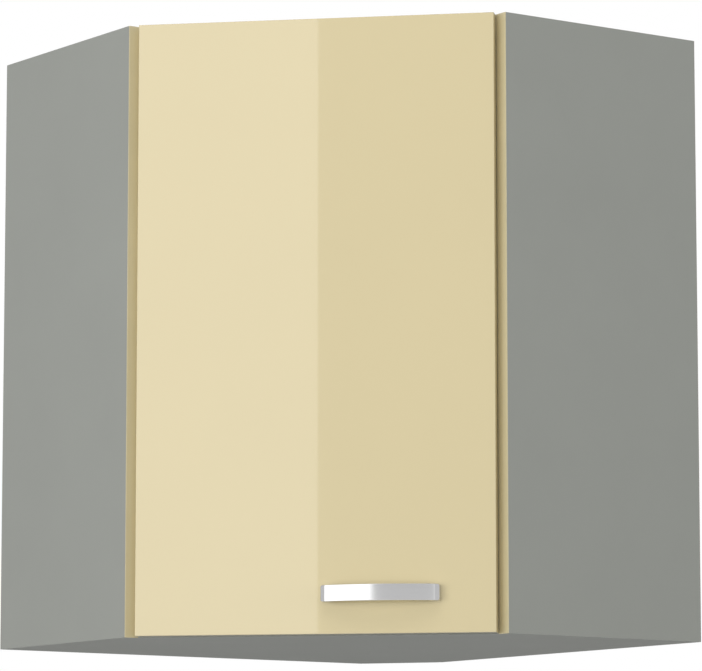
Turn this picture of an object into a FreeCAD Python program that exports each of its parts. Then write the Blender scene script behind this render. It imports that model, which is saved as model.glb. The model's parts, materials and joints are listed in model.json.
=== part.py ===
import FreeCAD, Part
import math
import os

# Diagonal corner wall cabinet, in millimetres, +Z up. The origin is the middle of the cabinet's square
# footprint, at the underside. The left-hand wall is the plane x = -width / 2 and the right-hand wall is the
# plane y = width / 2. The door faces +X and -Y and hangs on the left side panel.

# Overall sizes
width = 600.0
height = 720.0
side_depth = 284.5
corner_cut_left = 65.0
corner_cut_right = 85.0

# Boards, sheets and bands
board = 18.0
back_sheet = 3.0
edge_band = 1.0
overrun = 5.0
seat_gap = 0.1

# Door
door_thickness = 18.0
door_back_gap = 1.0
door_side_gap = 0.0
door_end_gap = 1.0
door_edge_radius = 1.5
bumper_radius = 4.0
bumper_gap = 0.3
bumper_inset = 20.0

# Shelves
shelf_setback = 22.0
shelf_side_gap = 1.0
shelf_count = 2
pin_radius = 2.5
pin_depth = 9.0
pin_reach = 8.0
pin_collar_radius = 3.5
pin_collar = 1.0
pin_hole_play = 0.05
pin_hole_depth = 10.0
pin_row_pitch = 32.0
pin_column_front = 50.0
pin_column_before_wall = 54.5
corner_pin_spread = 22.0

# Cam locks, cam bolts and dowels
cam_radius = 7.5
cam_depth = 12.5
cam_inset = 33.5
cam_slot_width = 1.6
cam_slot_depth = 2.0
cam_bolt_radius = 3.0
cam_bolt_depth = 10.0
cam_bolt_gap = 0.3
dowel_radius = 4.0
dowel_in_side = 12.0
dowel_in_panel = 23.0
dowel_end_gap = 0.5
cam_column_front = 60.0
cam_column_before_wall = 59.5
dowel_beside_cam = 32.0
hole_play = 0.05

# Screws of the corner board
corner_screw_radius = 2.0
corner_screw_length = 40.0
corner_screw_head_radius = 4.0
corner_screw_head = 2.5
corner_screw_spread = 25.0

# Nails of the back sheets
nail_radius = 0.75
nail_length = 18.0
nail_head_radius = 2.0
nail_head = 0.8
nail_rows = 3
nail_end_inset = 60.0

# Handle
handle_height = 19.0
handle_face_span = 127.0
handle_shoulder = 5.5
handle_shoulder_drop = 3.9
handle_foot_width = 10.0
handle_end_reach = 14.0
handle_middle_reach = 24.0
handle_wall = 4.5
handle_edge_radius = 0.8
handle_from_door_side = 132.5
handle_above_door = 45.6
handle_screw_radius = 2.0
handle_screw_grip = 8.0
handle_screw_head_radius = 4.0
handle_screw_head = 2.2

# Hinges
hinge_inset = 100.0
cup_radius = 17.4
cup_depth = 13.0
cup_wall = 0.8
cup_bore_play = 0.1
cup_edge_distance = 3.0
cup_flange = 0.9
cup_flange_height = 62.0
cup_flange_width = 24.0
cup_flange_corner = 4.0
cup_screw_spacing = 48.0
cup_screw_offset = 9.5
cup_screw_radius = 1.8
cup_screw_length = 12.0
cup_screw_head_radius = 3.5
cup_screw_head = 1.2
cup_pin_from_edge = 7.1
cup_pin_depth = 9.8
cup_pin_radius = 1.0
cup_pin_gap = 0.1
link_thickness = 2.5
link_height = 9.0
link_cup_eye_radius = 2.0
link_arm_eye_radius = 3.0
link_shoulder_behind_front = 2.1
link_shoulder_off_side = 27.6
link_elbow_before_front = 20.5
link_elbow_off_side = 8.5
arm_pin_behind_front = 52.0
arm_pin_off_side = 6.5
arm_pin_radius = 1.5
arm_base = 1.5
arm_ear = 2.0
arm_ear_gap = 0.5
arm_front = 46.0
arm_back = 64.0
arm_ear_back = 58.0
arm_ear_reach = 3.5
arm_screw_behind_front = 60.0
arm_screw_radius = 1.5
arm_screw_length = 12.0
arm_screw_head_radius = 2.5
arm_screw_head = 1.5
plate_thickness = 1.5
plate_front = 28.0
plate_height = 48.0
plate_web_height = 22.0
plate_web_front = 43.0
plate_screw_behind_front = 37.0
plate_screw_spacing = 32.0
plate_screw_radius = 2.5
plate_screw_length = 12.0
plate_screw_head_radius = 4.4
plate_screw_head = 1.5
pin_play = 0.05

# Hangers
hanger_length = 50.0
hanger_width = 14.0
hanger_wall = 2.0
hanger_spare = 9.0
hanger_below_top = 4.0
hanger_play = 0.3
hook_thickness = 3.0
hook_length = 34.0
hook_height = 24.0
hook_arm = 10.0
hook_tip = 4.0
hook_travel_out = 12.0
hook_travel_up = 5.0
carriage_wall = 2.0
carriage_lip = 3.0
adjuster_radius = 2.5
adjuster_head_radius = 4.0
adjuster_head = 2.0
adjuster_spread = 10.0
hanger_screw_radius = 2.0
hanger_screw_length = 14.0
hanger_screw_head_radius = 4.0
hanger_screw_head = 1.5
hanger_screw_inset = 11.0
hanger_screw_tab = 12.0

# Places worked out from the sizes
half = width / 2
left_wall = -half
right_wall = half
front_edge = left_wall + side_depth
inner_face = -half + board
opening = (width - side_depth - board) * math.sqrt(2)
door_left = door_side_gap
door_right = opening - door_side_gap
door_back = -door_back_gap
door_front = door_back - door_thickness
door_bottom = door_end_gap
door_top = height - door_end_gap
cup_centre = door_left + cup_edge_distance + cup_radius + cup_bore_play
cup_pin_x = door_left + cup_pin_from_edge
cup_pin_y = door_back - cup_pin_depth
hinge_heights = (hinge_inset, height - hinge_inset)
pin_columns = (pin_column_front, side_depth - pin_column_before_wall)
cam_columns = (cam_column_front, side_depth - cam_column_before_wall)
dowel_columns = (cam_columns[0] + dowel_beside_cam, cam_columns[1] - dowel_beside_cam)
handle_foot_span = handle_face_span + 2 * handle_shoulder
handle_screw_spacing = handle_foot_span - handle_foot_width
clear_height = (height - (shelf_count + 2) * board) / (shelf_count + 1)
shelf_bottoms = [board + clear_height + i * (clear_height + board) for i in range(shelf_count)]
panel_middles = (board / 2, height - board / 2)
hanger_height = hook_height + 2 * (hook_travel_up + hanger_wall + hanger_spare)
carriage_height = hook_height + 2 * carriage_lip
carriage_length = hook_length - hook_travel_out


# Small helpers

def box(x0, x1, y0, y1, z0, z1):
    """A block between two corners."""
    return Part.makeBox(x1 - x0, y1 - y0, z1 - z0, FreeCAD.Vector(x0, y0, z0))


def rod(start, direction, radius, length):
    """A round bar from a start point along a direction."""
    return Part.makeCylinder(radius, length, FreeCAD.Vector(*start), FreeCAD.Vector(*direction))


def prism(points, z0, z1):
    """A flat outline raised from z0 to z1."""
    corners = [FreeCAD.Vector(x, y, z0) for x, y in points]
    face = Part.Face(Part.makePolygon(corners + corners[:1]))
    return face.extrude(FreeCAD.Vector(0, 0, z1 - z0))


def group(shapes):
    """Several separate solids in one node."""
    return Part.makeCompound([solid for shape in shapes for solid in shape.Solids])


def cut(body, tools):
    """A body with the given shapes taken away."""
    return body.cut(tools) if tools else body


def mirrored(shape):
    """The same piece on the other side of the cabinet's diagonal."""
    return shape.mirror(FreeCAD.Vector(0, 0, 0), FreeCAD.Vector(1, 1, 0))


def on_door(shape):
    """A piece drawn flat to the door, put in its place.

    On the drawing x runs along the door from the left panel's inner corner, y runs into the cabinet and is
    zero at the front edges of the top and bottom panels, and z is up.
    """
    placed = shape.copy()
    placed.rotate(FreeCAD.Vector(0, 0, 0), FreeCAD.Vector(0, 0, 1), math.degrees(math.atan2(1, 1)))
    placed.translate(FreeCAD.Vector(front_edge, inner_face, 0))
    return placed


def door_point(x, y):
    """A point of the door's drawing in the cabinet's own plan."""
    return front_edge + (x - y) / math.sqrt(2), inner_face + (x + y) / math.sqrt(2)


# The cut-off room corner

corner_length = math.hypot(corner_cut_left, corner_cut_right)
corner_along = (corner_cut_right / corner_length, corner_cut_left / corner_length)
corner_inward = (corner_along[1], -corner_along[0])


def corner_line(depth):
    """Where the line at a depth inside the cut corner meets the two back sheets' inner faces."""
    start_x = left_wall + corner_inward[0] * depth
    start_y = right_wall - corner_cut_left + corner_inward[1] * depth
    left_x = left_wall + back_sheet
    left_y = start_y + (left_x - start_x) * corner_along[1] / corner_along[0]
    right_y = right_wall - back_sheet
    right_x = start_x + (right_y - start_y) * corner_along[0] / corner_along[1]
    return (left_x, left_y), (right_x, right_y)


def corner_point(along, depth):
    """A point at a distance from the middle of the cut corner, and at a depth inside it."""
    middle_x = left_wall + corner_cut_right / 2
    middle_y = right_wall - corner_cut_left / 2
    x = middle_x + corner_along[0] * along + corner_inward[0] * depth
    y = middle_y + corner_along[1] * along + corner_inward[1] * depth
    return x, y


# Boards

def panel_outline(side_gap, front_setback, back_gap):
    """Outline of the top, the bottom or a shelf, between the side panels."""
    left_side = inner_face + side_gap
    front = front_setback * math.sqrt(2)
    diagonal = front_edge - inner_face - front
    right_side = -left_side
    back_left, back_right = corner_line(board + back_gap)
    left_x = left_wall + back_sheet + back_gap
    right_y = right_wall - back_sheet - back_gap
    cut_rise = back_gap * corner_along[1] / corner_along[0]
    cut_run = back_gap * corner_along[0] / corner_along[1]
    return [
        (left_x, left_side),
        (diagonal + left_side, left_side),
        (right_side, right_side - diagonal),
        (right_side, right_y),
        (back_right[0] - cut_run, right_y),
        (left_x, back_left[1] + cut_rise),
    ]


def joint_bolt(column, z, play, end_gap):
    """A cam bolt of the left side's joints, or its hole."""
    start = (front_edge - column, inner_face - cam_bolt_depth - end_gap, z)
    reach = cam_bolt_depth + cam_inset - cam_radius - cam_bolt_gap + end_gap
    return rod(start, (0, 1, 0), cam_bolt_radius + play, reach)


def joint_dowel(column, z, play, end_gap):
    """A dowel of the left side's joints, or its hole."""
    start = (front_edge - column, inner_face - dowel_in_side - end_gap, z)
    return rod(start, (0, 1, 0), dowel_radius + play, dowel_in_side + dowel_in_panel + 2 * end_gap)


def joint_cam(column, z_top, play):
    """A cam lock let into a panel's upper face, or its hole."""
    start = (front_edge - column, inner_face + cam_inset, z_top - cam_depth)
    return rod(start, (0, 0, 1), cam_radius + play, cam_depth)


def joint_holes():
    """All holes of the left side's joints with the top and the bottom."""
    holes = []
    for z in panel_middles:
        holes += [joint_bolt(column, z, hole_play, hole_play) for column in cam_columns]
        holes += [joint_dowel(column, z, hole_play, dowel_end_gap) for column in dowel_columns]
        holes += [joint_cam(column, z + board / 2, hole_play) for column in cam_columns]
    return holes


def pin_hole(column, z):
    """A shelf-pin hole in the left side panel's inner face."""
    start = (front_edge - column, inner_face - pin_hole_depth, z)
    return rod(start, (0, 1, 0), pin_radius + pin_hole_play, pin_hole_depth + overrun)


def pin_holes():
    """The shelf-pin holes of the left side panel: three rows for each shelf, in two columns."""
    holes = []
    for bottom in shelf_bottoms:
        for row in range(-1, 2):
            z = bottom - pin_radius - seat_gap + row * pin_row_pitch
            holes += [pin_hole(column, z) for column in pin_columns]
    return holes


def nail_places(corner_row):
    """Places of a back sheet's nails, as points of the left-hand wall's plane."""
    side_row = inner_face - board / 2
    reach = height - 2 * nail_end_inset
    heights = [nail_end_inset + reach * i / (nail_rows - 1) for i in range(nail_rows)]
    places = [(row, z) for row in (side_row, corner_row) for z in heights]
    step = (corner_row - side_row) / (nail_rows + 1)
    places += [(side_row + step * i, z) for z in panel_middles for i in range(1, nail_rows + 1)]
    return places


def nail(place, play):
    """A nail driven along +X through the left back sheet, or its hole."""
    y, z = place
    shank = rod((left_wall, y, z), (1, 0, 0), nail_radius + play, nail_length + play)
    head = rod((left_wall, y, z), (1, 0, 0), nail_head_radius + play, nail_head + play)
    return shank.fuse(head)


def nails(play):
    """The nails of the left and of the right back sheet, or their holes."""
    outer_left, outer_right = corner_line(0)
    inner_left, inner_right = corner_line(board)
    left = [nail(place, play) for place in nail_places((outer_left[1] + inner_left[1]) / 2)]
    right = [nail(place, play) for place in nail_places(-(outer_right[0] + inner_right[0]) / 2)]
    return left, [mirrored(shape) for shape in right]


def side_panel(holes):
    """The left side panel, without its front edge band."""
    blank = box(left_wall + back_sheet, front_edge - edge_band, -half, inner_face, 0, height)
    return cut(blank, holes)


def side_band():
    """The band on the left side panel's square-cut front edge."""
    return box(front_edge - edge_band, front_edge, -half, inner_face, 0, height)


def flat_panel(z0, side_gap, front_setback, back_gap, holes):
    """A top, bottom or shelf board, without its front edge band."""
    outline = panel_outline(side_gap, front_setback + edge_band, back_gap)
    return cut(prism(outline, z0, z0 + board), holes)


def flat_band(z0, side_gap, front_setback):
    """The front edge band of a top, bottom or shelf."""
    left = door_left_end(side_gap, front_setback)
    right = opening - left
    back_left = door_left_end(side_gap, front_setback + edge_band)
    back_right = opening - back_left
    outline = [
        (left, front_setback),
        (right, front_setback),
        (back_right, front_setback + edge_band),
        (back_left, front_setback + edge_band),
    ]
    return on_door(prism(outline, z0, z0 + board))


def door_left_end(side_gap, depth):
    """On the door's drawing, the left end of a board's front edge at a depth behind the opening."""
    return side_gap * math.sqrt(2) - depth


def corner_screw(along, z, play):
    """A screw through the corner board into the top or bottom, or its hole."""
    x, y = corner_point(along, 0)
    direction = (corner_inward[0], corner_inward[1], 0)
    shank = rod((x, y, z), direction, corner_screw_radius + play, corner_screw_length + play)
    head = rod((x, y, z), direction, corner_screw_head_radius + play, corner_screw_head + play)
    return shank.fuse(head)


def corner_screws(play):
    """The corner board's four screws, or their holes."""
    places = [(side * corner_screw_spread, z) for z in panel_middles for side in (-1, 1)]
    return [corner_screw(along, z, play) for along, z in places]


def corner_pin_places():
    """Where the shelf pins of the corner board stand."""
    rows = [bottom - pin_radius - seat_gap for bottom in shelf_bottoms]
    return [(side * corner_pin_spread, z) for z in rows for side in (-1, 1)]


def corner_pin_holes():
    """The corner board's shelf-pin holes."""
    holes = []
    for along, z in corner_pin_places():
        x, y = corner_point(along, board - pin_hole_depth)
        direction = (corner_inward[0], corner_inward[1], 0)
        holes.append(rod((x, y, z), direction, pin_radius + pin_hole_play, pin_hole_depth + overrun))
    return holes


def corner_board(holes):
    """The upright board across the cut-off corner."""
    outer_left, outer_right = corner_line(0)
    inner_left, inner_right = corner_line(board)
    blank = prism([outer_left, inner_left, inner_right, outer_right], 0, height)
    return cut(blank, holes)


def hook_window():
    """The opening in the left back sheet that the hanger's hook leaves by."""
    y0 = inner_face + hanger_wall
    y1 = inner_face + hanger_width - hanger_wall
    z1 = height - board - hanger_below_top - hanger_wall
    z0 = z1 - hanger_height + 2 * hanger_wall
    return box(left_wall - overrun, left_wall + back_sheet + overrun, y0, y1, z0, z1)


def back_sheet_left(holes):
    """The hardboard sheet on the left-hand wall."""
    sheet = box(left_wall, left_wall + back_sheet, -half, right_wall - corner_cut_left, 0, height)
    return cut(sheet, holes + [hook_window()])


def back_sheet_right(holes):
    """The hardboard sheet on the right-hand wall."""
    sheet = box(left_wall + corner_cut_right, half, right_wall - back_sheet, right_wall, 0, height)
    return cut(sheet, holes + [mirrored(hook_window())])


# Small parts of the carcass

def shelf_pin(column, z):
    """A shelf pin in the left side panel: a peg with a collar against the board."""
    start = (front_edge - column, inner_face - pin_depth, z)
    peg = rod(start, (0, 1, 0), pin_radius, pin_depth + pin_reach)
    collar_start = (front_edge - column, inner_face, z)
    collar = rod(collar_start, (0, 1, 0), pin_collar_radius, pin_collar)
    trim = box(start[0] - overrun, start[0] + overrun, inner_face - overrun, inner_face + pin_reach,
               z + pin_radius, z + pin_radius + overrun)
    return peg.fuse(collar).cut(trim)


def corner_shelf_pin(along, z):
    """A shelf pin in the corner board."""
    direction = (corner_inward[0], corner_inward[1], 0)
    x, y = corner_point(along, board - pin_depth)
    return rod((x, y, z), direction, pin_radius, pin_depth + pin_reach)


def shelf_pins():
    """The pins under both shelves."""
    pins = []
    for bottom in shelf_bottoms:
        z = bottom - pin_radius - seat_gap
        left = [shelf_pin(column, z) for column in pin_columns]
        pins += left + [mirrored(pin) for pin in left]
    return pins + [corner_shelf_pin(along, z) for along, z in corner_pin_places()]


def cam_lock(column, z_top):
    """A cam lock with the slot for a screwdriver."""
    cam = joint_cam(column, z_top, 0)
    x = front_edge - column
    y = inner_face + cam_inset
    slot = box(x - cam_radius, x + cam_radius, y - cam_slot_width / 2, y + cam_slot_width / 2,
               z_top - cam_slot_depth, z_top + overrun)
    return cam.cut(slot)


def both_sides(shapes):
    """Pieces of the left side's joints and their mirror images."""
    return shapes + [mirrored(shape) for shape in shapes]


# Hinges, on the left side panel

def arm_pin_place():
    """The arm pin's place in plan."""
    return front_edge - arm_pin_behind_front, inner_face + arm_pin_off_side


def mounting_plate(z):
    """The plate screwed to the side panel that carries a hinge arm."""
    y1 = inner_face + plate_thickness
    wings = box(front_edge - plate_web_front, front_edge - plate_front, inner_face, y1,
                z - plate_height / 2, z + plate_height / 2)
    web = box(front_edge - arm_back, front_edge - plate_front, inner_face, y1,
              z - plate_web_height / 2, z + plate_web_height / 2)
    return wings.fuse(web).removeSplitter().cut([plate_screw(z, side, pin_play) for side in (-1, 1)]
                                                + [arm_screw(z, pin_play)])


def plate_screw(z, side, play):
    """A screw of the mounting plate, or its hole."""
    x = front_edge - plate_screw_behind_front
    z_screw = z + side * plate_screw_spacing / 2
    start = (x, inner_face + plate_thickness - plate_screw_length, z_screw)
    shank = rod(start, (0, 1, 0), plate_screw_radius + play, plate_screw_length)
    if play:
        return shank
    head = rod((x, inner_face + plate_thickness, z_screw), (0, 1, 0), plate_screw_head_radius,
               plate_screw_head)
    return shank.fuse(head)


def arm_screw(z, play):
    """The screw that holds a hinge arm on its plate, or its hole."""
    x = front_edge - arm_screw_behind_front
    top = inner_face + plate_thickness + arm_base
    shank = rod((x, top - arm_screw_length, z), (0, 1, 0), arm_screw_radius + play, arm_screw_length)
    if play:
        return shank
    head = rod((x, top, z), (0, 1, 0), arm_screw_head_radius, arm_screw_head)
    return shank.fuse(head)


def hinge_arm(z):
    """The arm: a base with two ears that hold the link's pin."""
    x_pin, y_pin = arm_pin_place()
    y0 = inner_face + plate_thickness
    ear_in = link_height / 2 + arm_ear_gap
    ear_out = ear_in + arm_ear
    base = box(front_edge - arm_back, front_edge - arm_front, y0, y0 + arm_base, z - ear_out, z + ear_out)
    shape = base
    for side in (-1, 1):
        z0, z1 = sorted((z + side * ear_in, z + side * ear_out))
        ear = box(front_edge - arm_ear_back, front_edge - arm_front, y0, y_pin, z0, z1)
        cheek = rod((x_pin, y_pin, z0), (0, 0, 1), link_arm_eye_radius + arm_ear_reach, arm_ear)
        rounded = cheek.common(box(front_edge - arm_ear_back, front_edge - arm_front, y0,
                                   y_pin + link_arm_eye_radius + arm_ear_reach, z0, z1))
        shape = shape.fuse(ear).fuse(rounded)
    hole = rod((x_pin, y_pin, z - ear_out - overrun), (0, 0, 1), arm_pin_radius + pin_play,
               2 * (ear_out + overrun))
    return shape.removeSplitter().cut([hole, arm_screw(z, pin_play)])


def arm_pin(z):
    """The pin through the arm's ears and the link."""
    x_pin, y_pin = arm_pin_place()
    reach = link_height / 2 + arm_ear_gap + arm_ear
    return rod((x_pin, y_pin, z - reach), (0, 0, 1), arm_pin_radius, 2 * reach)


def link_bends():
    """The link's line in plan, from the arm pin round the panel's front edge to the cup pin."""
    shoulder = (front_edge - link_shoulder_behind_front, inner_face + link_shoulder_off_side)
    elbow = (front_edge + link_elbow_before_front, inner_face + link_elbow_off_side)
    return [arm_pin_place(), shoulder, elbow, door_point(cup_pin_x, cup_pin_y)]


def strap(start, end, z0):
    """One straight run of the link between two bends, with a round end at each."""
    length = math.hypot(end[0] - start[0], end[1] - start[1])
    bar = Part.makeBox(length, link_thickness, link_height, FreeCAD.Vector(0, -link_thickness / 2, 0))
    angle = math.degrees(math.atan2(end[1] - start[1], end[0] - start[0]))
    bar.rotate(FreeCAD.Vector(0, 0, 0), FreeCAD.Vector(0, 0, 1), angle)
    bar.translate(FreeCAD.Vector(start[0], start[1], z0))
    return bar


def hinge_link(z):
    """The gooseneck link, bent from a flat bar."""
    z0 = z - link_height / 2
    points = link_bends()
    shape = rod((points[0][0], points[0][1], z0), (0, 0, 1), link_arm_eye_radius, link_height)
    for start, end in zip(points, points[1:]):
        shape = shape.fuse(strap(start, end, z0))
    for x, y in points[1:3]:
        shape = shape.fuse(rod((x, y, z0), (0, 0, 1), link_thickness / 2, link_height))
    last = points[3]
    shape = shape.fuse(rod((last[0], last[1], z0), (0, 0, 1), link_cup_eye_radius, link_height))
    arm_hole = rod((points[0][0], points[0][1], z0 - overrun), (0, 0, 1), arm_pin_radius + pin_play,
                   link_height + 2 * overrun)
    cup_hole = rod((last[0], last[1], z0 - overrun), (0, 0, 1), cup_pin_radius + pin_play,
                   link_height + 2 * overrun)
    return shape.removeSplitter().cut([arm_hole, cup_hole])


def cup_screw(z, side, play):
    """A screw of the hinge cup's flange, or its hole in the door."""
    x = cup_centre + cup_screw_offset
    z_screw = z + side * cup_screw_spacing / 2
    start = (x, door_back + cup_flange - cup_screw_length, z_screw)
    shank = rod(start, (0, 1, 0), cup_screw_radius + play, cup_screw_length)
    if play:
        return shank
    head = rod((x, door_back + cup_flange, z_screw), (0, 1, 0), cup_screw_head_radius, cup_screw_head)
    return shank.fuse(head)


def hinge_cup(z):
    """The cup in the door's back, open to the cabinet, with a flange on the door."""
    outer = rod((cup_centre, door_back - cup_depth, z), (0, 1, 0), cup_radius, cup_depth)
    x0 = cup_centre + cup_screw_offset - cup_flange_width / 2
    flange = box(x0, x0 + cup_flange_width, door_back, door_back + cup_flange,
                 z - cup_flange_height / 2, z + cup_flange_height / 2)
    corners = [edge for edge in flange.Edges if edge.BoundBox.YLength > cup_flange / 2]
    flange = flange.makeFillet(cup_flange_corner, corners)
    rim = rod((cup_centre, door_back, z), (0, 1, 0), cup_radius, cup_flange)
    hollow = rod((cup_centre, door_back - cup_depth + cup_wall, z), (0, 1, 0), cup_radius - cup_wall,
                 cup_depth + overrun)
    screws = [cup_screw(z, side, pin_play) for side in (-1, 1)]
    return outer.fuse(rim).fuse(flange).removeSplitter().cut([hollow] + screws)


def cup_pin(z):
    """The pin across the cup on which the link's end turns."""
    inside = cup_radius - cup_wall
    far_side = cup_centre - cup_pin_x + cup_pin_radius
    reach = math.sqrt(inside ** 2 - far_side ** 2) - cup_pin_gap
    return rod((cup_pin_x, cup_pin_y, z - reach), (0, 0, 1), cup_pin_radius, 2 * reach)


# Door and handle

def handle_centre():
    """The handle's middle on the door's drawing: along the door, and its height."""
    return door_right - handle_from_door_side, door_bottom + handle_above_door


def handle_bar():
    """The bow handle: a shallow arc with a sloping shoulder and an upright foot at each end."""
    x, z = handle_centre()
    face = handle_face_span / 2
    foot = handle_foot_span / 2
    inner_foot = foot - handle_foot_width
    shoulder = handle_end_reach - handle_shoulder_drop
    inner_end = handle_end_reach - handle_wall
    inner_middle = handle_middle_reach - handle_wall

    def spot(along, reach):
        return FreeCAD.Vector(x + along, door_front - reach, z - handle_height / 2)

    def bow(end_along, end_reach, middle_reach):
        ends = (spot(-end_along, end_reach), spot(end_along, end_reach))
        return Part.Arc(ends[0], spot(0, middle_reach), ends[1]).toShape()

    edges = [
        Part.makeLine(spot(-foot, 0), spot(-foot, shoulder)),
        Part.makeLine(spot(-foot, shoulder), spot(-face, handle_end_reach)),
        bow(face, handle_end_reach, handle_middle_reach),
        Part.makeLine(spot(face, handle_end_reach), spot(foot, shoulder)),
        Part.makeLine(spot(foot, shoulder), spot(foot, 0)),
        Part.makeLine(spot(foot, 0), spot(inner_foot, 0)),
        Part.makeLine(spot(inner_foot, 0), spot(inner_foot, inner_end)),
        bow(inner_foot, inner_end, inner_middle),
        Part.makeLine(spot(-inner_foot, inner_end), spot(-inner_foot, 0)),
        Part.makeLine(spot(-inner_foot, 0), spot(-foot, 0)),
    ]
    bar = Part.Face(Part.Wire(edges)).extrude(FreeCAD.Vector(0, 0, handle_height))
    front = [edge for edge in bar.Edges if edge.BoundBox.YMax < door_front - handle_end_reach / 2
             and edge.BoundBox.ZLength < handle_height / 2 and edge.BoundBox.XLength > handle_face_span / 2
             and edge.BoundBox.YMin < door_front - inner_middle - handle_wall / 2]
    bar = bar.makeFillet(handle_edge_radius, front)
    return bar.cut([handle_screw_hole(side) for side in (-1, 1)])


def handle_screw_hole(side):
    """A screw's hole through the door and into a foot."""
    x, z = handle_centre()
    start = (x + side * handle_screw_spacing / 2, door_back + overrun, z)
    length = overrun + door_thickness + handle_screw_grip + seat_gap
    return rod(start, (0, -1, 0), handle_screw_radius + hole_play, length)


def handle_screw(side):
    """A handle screw, driven from inside the door."""
    x, z = handle_centre()
    start = (x + side * handle_screw_spacing / 2, door_back, z)
    shank = rod(start, (0, -1, 0), handle_screw_radius, door_thickness + handle_screw_grip)
    head = rod(start, (0, 1, 0), handle_screw_head_radius, handle_screw_head)
    return shank.fuse(head)


def door_panel():
    """The door: a thick panel with softened front edges, bored for the hinge cups."""
    slab = box(door_left, door_right, door_front, door_back, door_bottom, door_top)
    front = [edge for edge in slab.Edges if edge.BoundBox.YMax < door_front + door_edge_radius]
    slab = slab.makeFillet(door_edge_radius, front)
    bores = []
    for z in hinge_heights:
        bores.append(rod((cup_centre, door_back + overrun, z), (0, -1, 0), cup_radius + cup_bore_play,
                         cup_depth + cup_bore_play + overrun))
        bores += [cup_screw(z, side, hole_play) for side in (-1, 1)]
    bores += [handle_screw_hole(side) for side in (-1, 1)]
    return slab.cut(bores)


def door_bumper(z):
    """A soft bumper on the door's back, before the top's or the bottom's front edge."""
    x = door_right - bumper_inset
    return rod((x, door_back, z), (0, 1, 0), bumper_radius, door_back_gap - bumper_gap)


# Hangers, in the left rear top corner

def hanger_box():
    """Corners of the left hanger's housing."""
    x0 = left_wall + back_sheet
    z1 = height - board - hanger_below_top
    return x0, x0 + hanger_length, inner_face, inner_face + hanger_width, z1 - hanger_height, z1


def adjuster(side, play):
    """One of the hanger's two adjusting screws, or its hole in the housing."""
    x0, x1, y0, y1, z0, z1 = hanger_box()
    y = (y0 + y1) / 2
    z = (z0 + z1) / 2 + side * adjuster_spread
    inner_end = x0 + hanger_play + hook_length + carriage_wall + 2 * hanger_play
    shank = rod((inner_end, y, z), (1, 0, 0), adjuster_radius + play, x1 - inner_end + adjuster_head / 2)
    if play:
        return shank
    head = rod((x1, y, z), (1, 0, 0), adjuster_head_radius, adjuster_head)
    return shank.fuse(head)


def hanger_tab_screw(side, play):
    """A screw of the housing's tabs, or its hole."""
    x0, x1, y0, y1, z0, z1 = hanger_box()
    x = x1 + hanger_screw_tab / 2
    z = (z0 + z1) / 2 + side * (hanger_height / 2 - hanger_screw_inset)
    top = y0 + hanger_wall
    shank = rod((x, top - hanger_screw_length, z), (0, 1, 0), hanger_screw_radius + play, hanger_screw_length)
    if play:
        return shank
    head = rod((x, top, z), (0, 1, 0), hanger_screw_head_radius, hanger_screw_head)
    return shank.fuse(head)


def hanger_housing():
    """The housing: a box open to the wall, with a tab for its screws."""
    x0, x1, y0, y1, z0, z1 = hanger_box()
    shell = box(x0, x1, y0, y1, z0, z1)
    tab = box(x1, x1 + hanger_screw_tab, y0, y0 + hanger_wall, z0, z1)
    hollow = box(x0 - overrun, x1 - hanger_wall, y0 + hanger_wall, y1 - hanger_wall,
                 z0 + hanger_wall, z1 - hanger_wall)
    holes = [adjuster(side, hole_play) for side in (-1, 1)]
    holes += [hanger_tab_screw(side, hole_play) for side in (-1, 1)]
    return shell.fuse(tab).removeSplitter().cut([hollow] + holes)


def hanger_hook():
    """The steel hook, drawn back flush with the wall, its tip pointing down."""
    x0, x1, y0, y1, z0, z1 = hanger_box()
    y = (y0 + y1) / 2
    top = (z0 + z1) / 2 + hook_height / 2
    bottom = top - hook_height
    end = x0 + hook_length
    arm = box(left_wall, end, y - hook_thickness / 2, y + hook_thickness / 2, top - hook_arm, top)
    tip = box(left_wall, left_wall + hook_tip, y - hook_thickness / 2, y + hook_thickness / 2, bottom, top)
    heel = box(end - hook_arm, end, y - hook_thickness / 2, y + hook_thickness / 2, bottom, top)
    return arm.fuse(tip).fuse(heel).removeSplitter()


def hanger_carriage():
    """The channel that holds the hook between its cheeks and slides in the housing."""
    x0, x1, y0, y1, z0, z1 = hanger_box()
    y = (y0 + y1) / 2
    z = (z0 + z1) / 2
    web = x0 + hook_length + hanger_play
    cheek_in = hook_thickness / 2 + hanger_play
    cheek_out = hanger_width / 2 - hanger_wall - hanger_play
    outer = box(web - carriage_length, web + carriage_wall, y - cheek_out, y + cheek_out,
                z - carriage_height / 2, z + carriage_height / 2)
    slot = box(web - carriage_length - overrun, web, y - cheek_in, y + cheek_in,
               z - carriage_height / 2 - overrun, z + carriage_height / 2 + overrun)
    return outer.cut(slot)


def export(nodes):
    """Write one file for each node."""
    os.makedirs("parts", exist_ok=True)
    for name, shape in nodes.items():
        shape.exportStep("parts/" + name + ".step")


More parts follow.
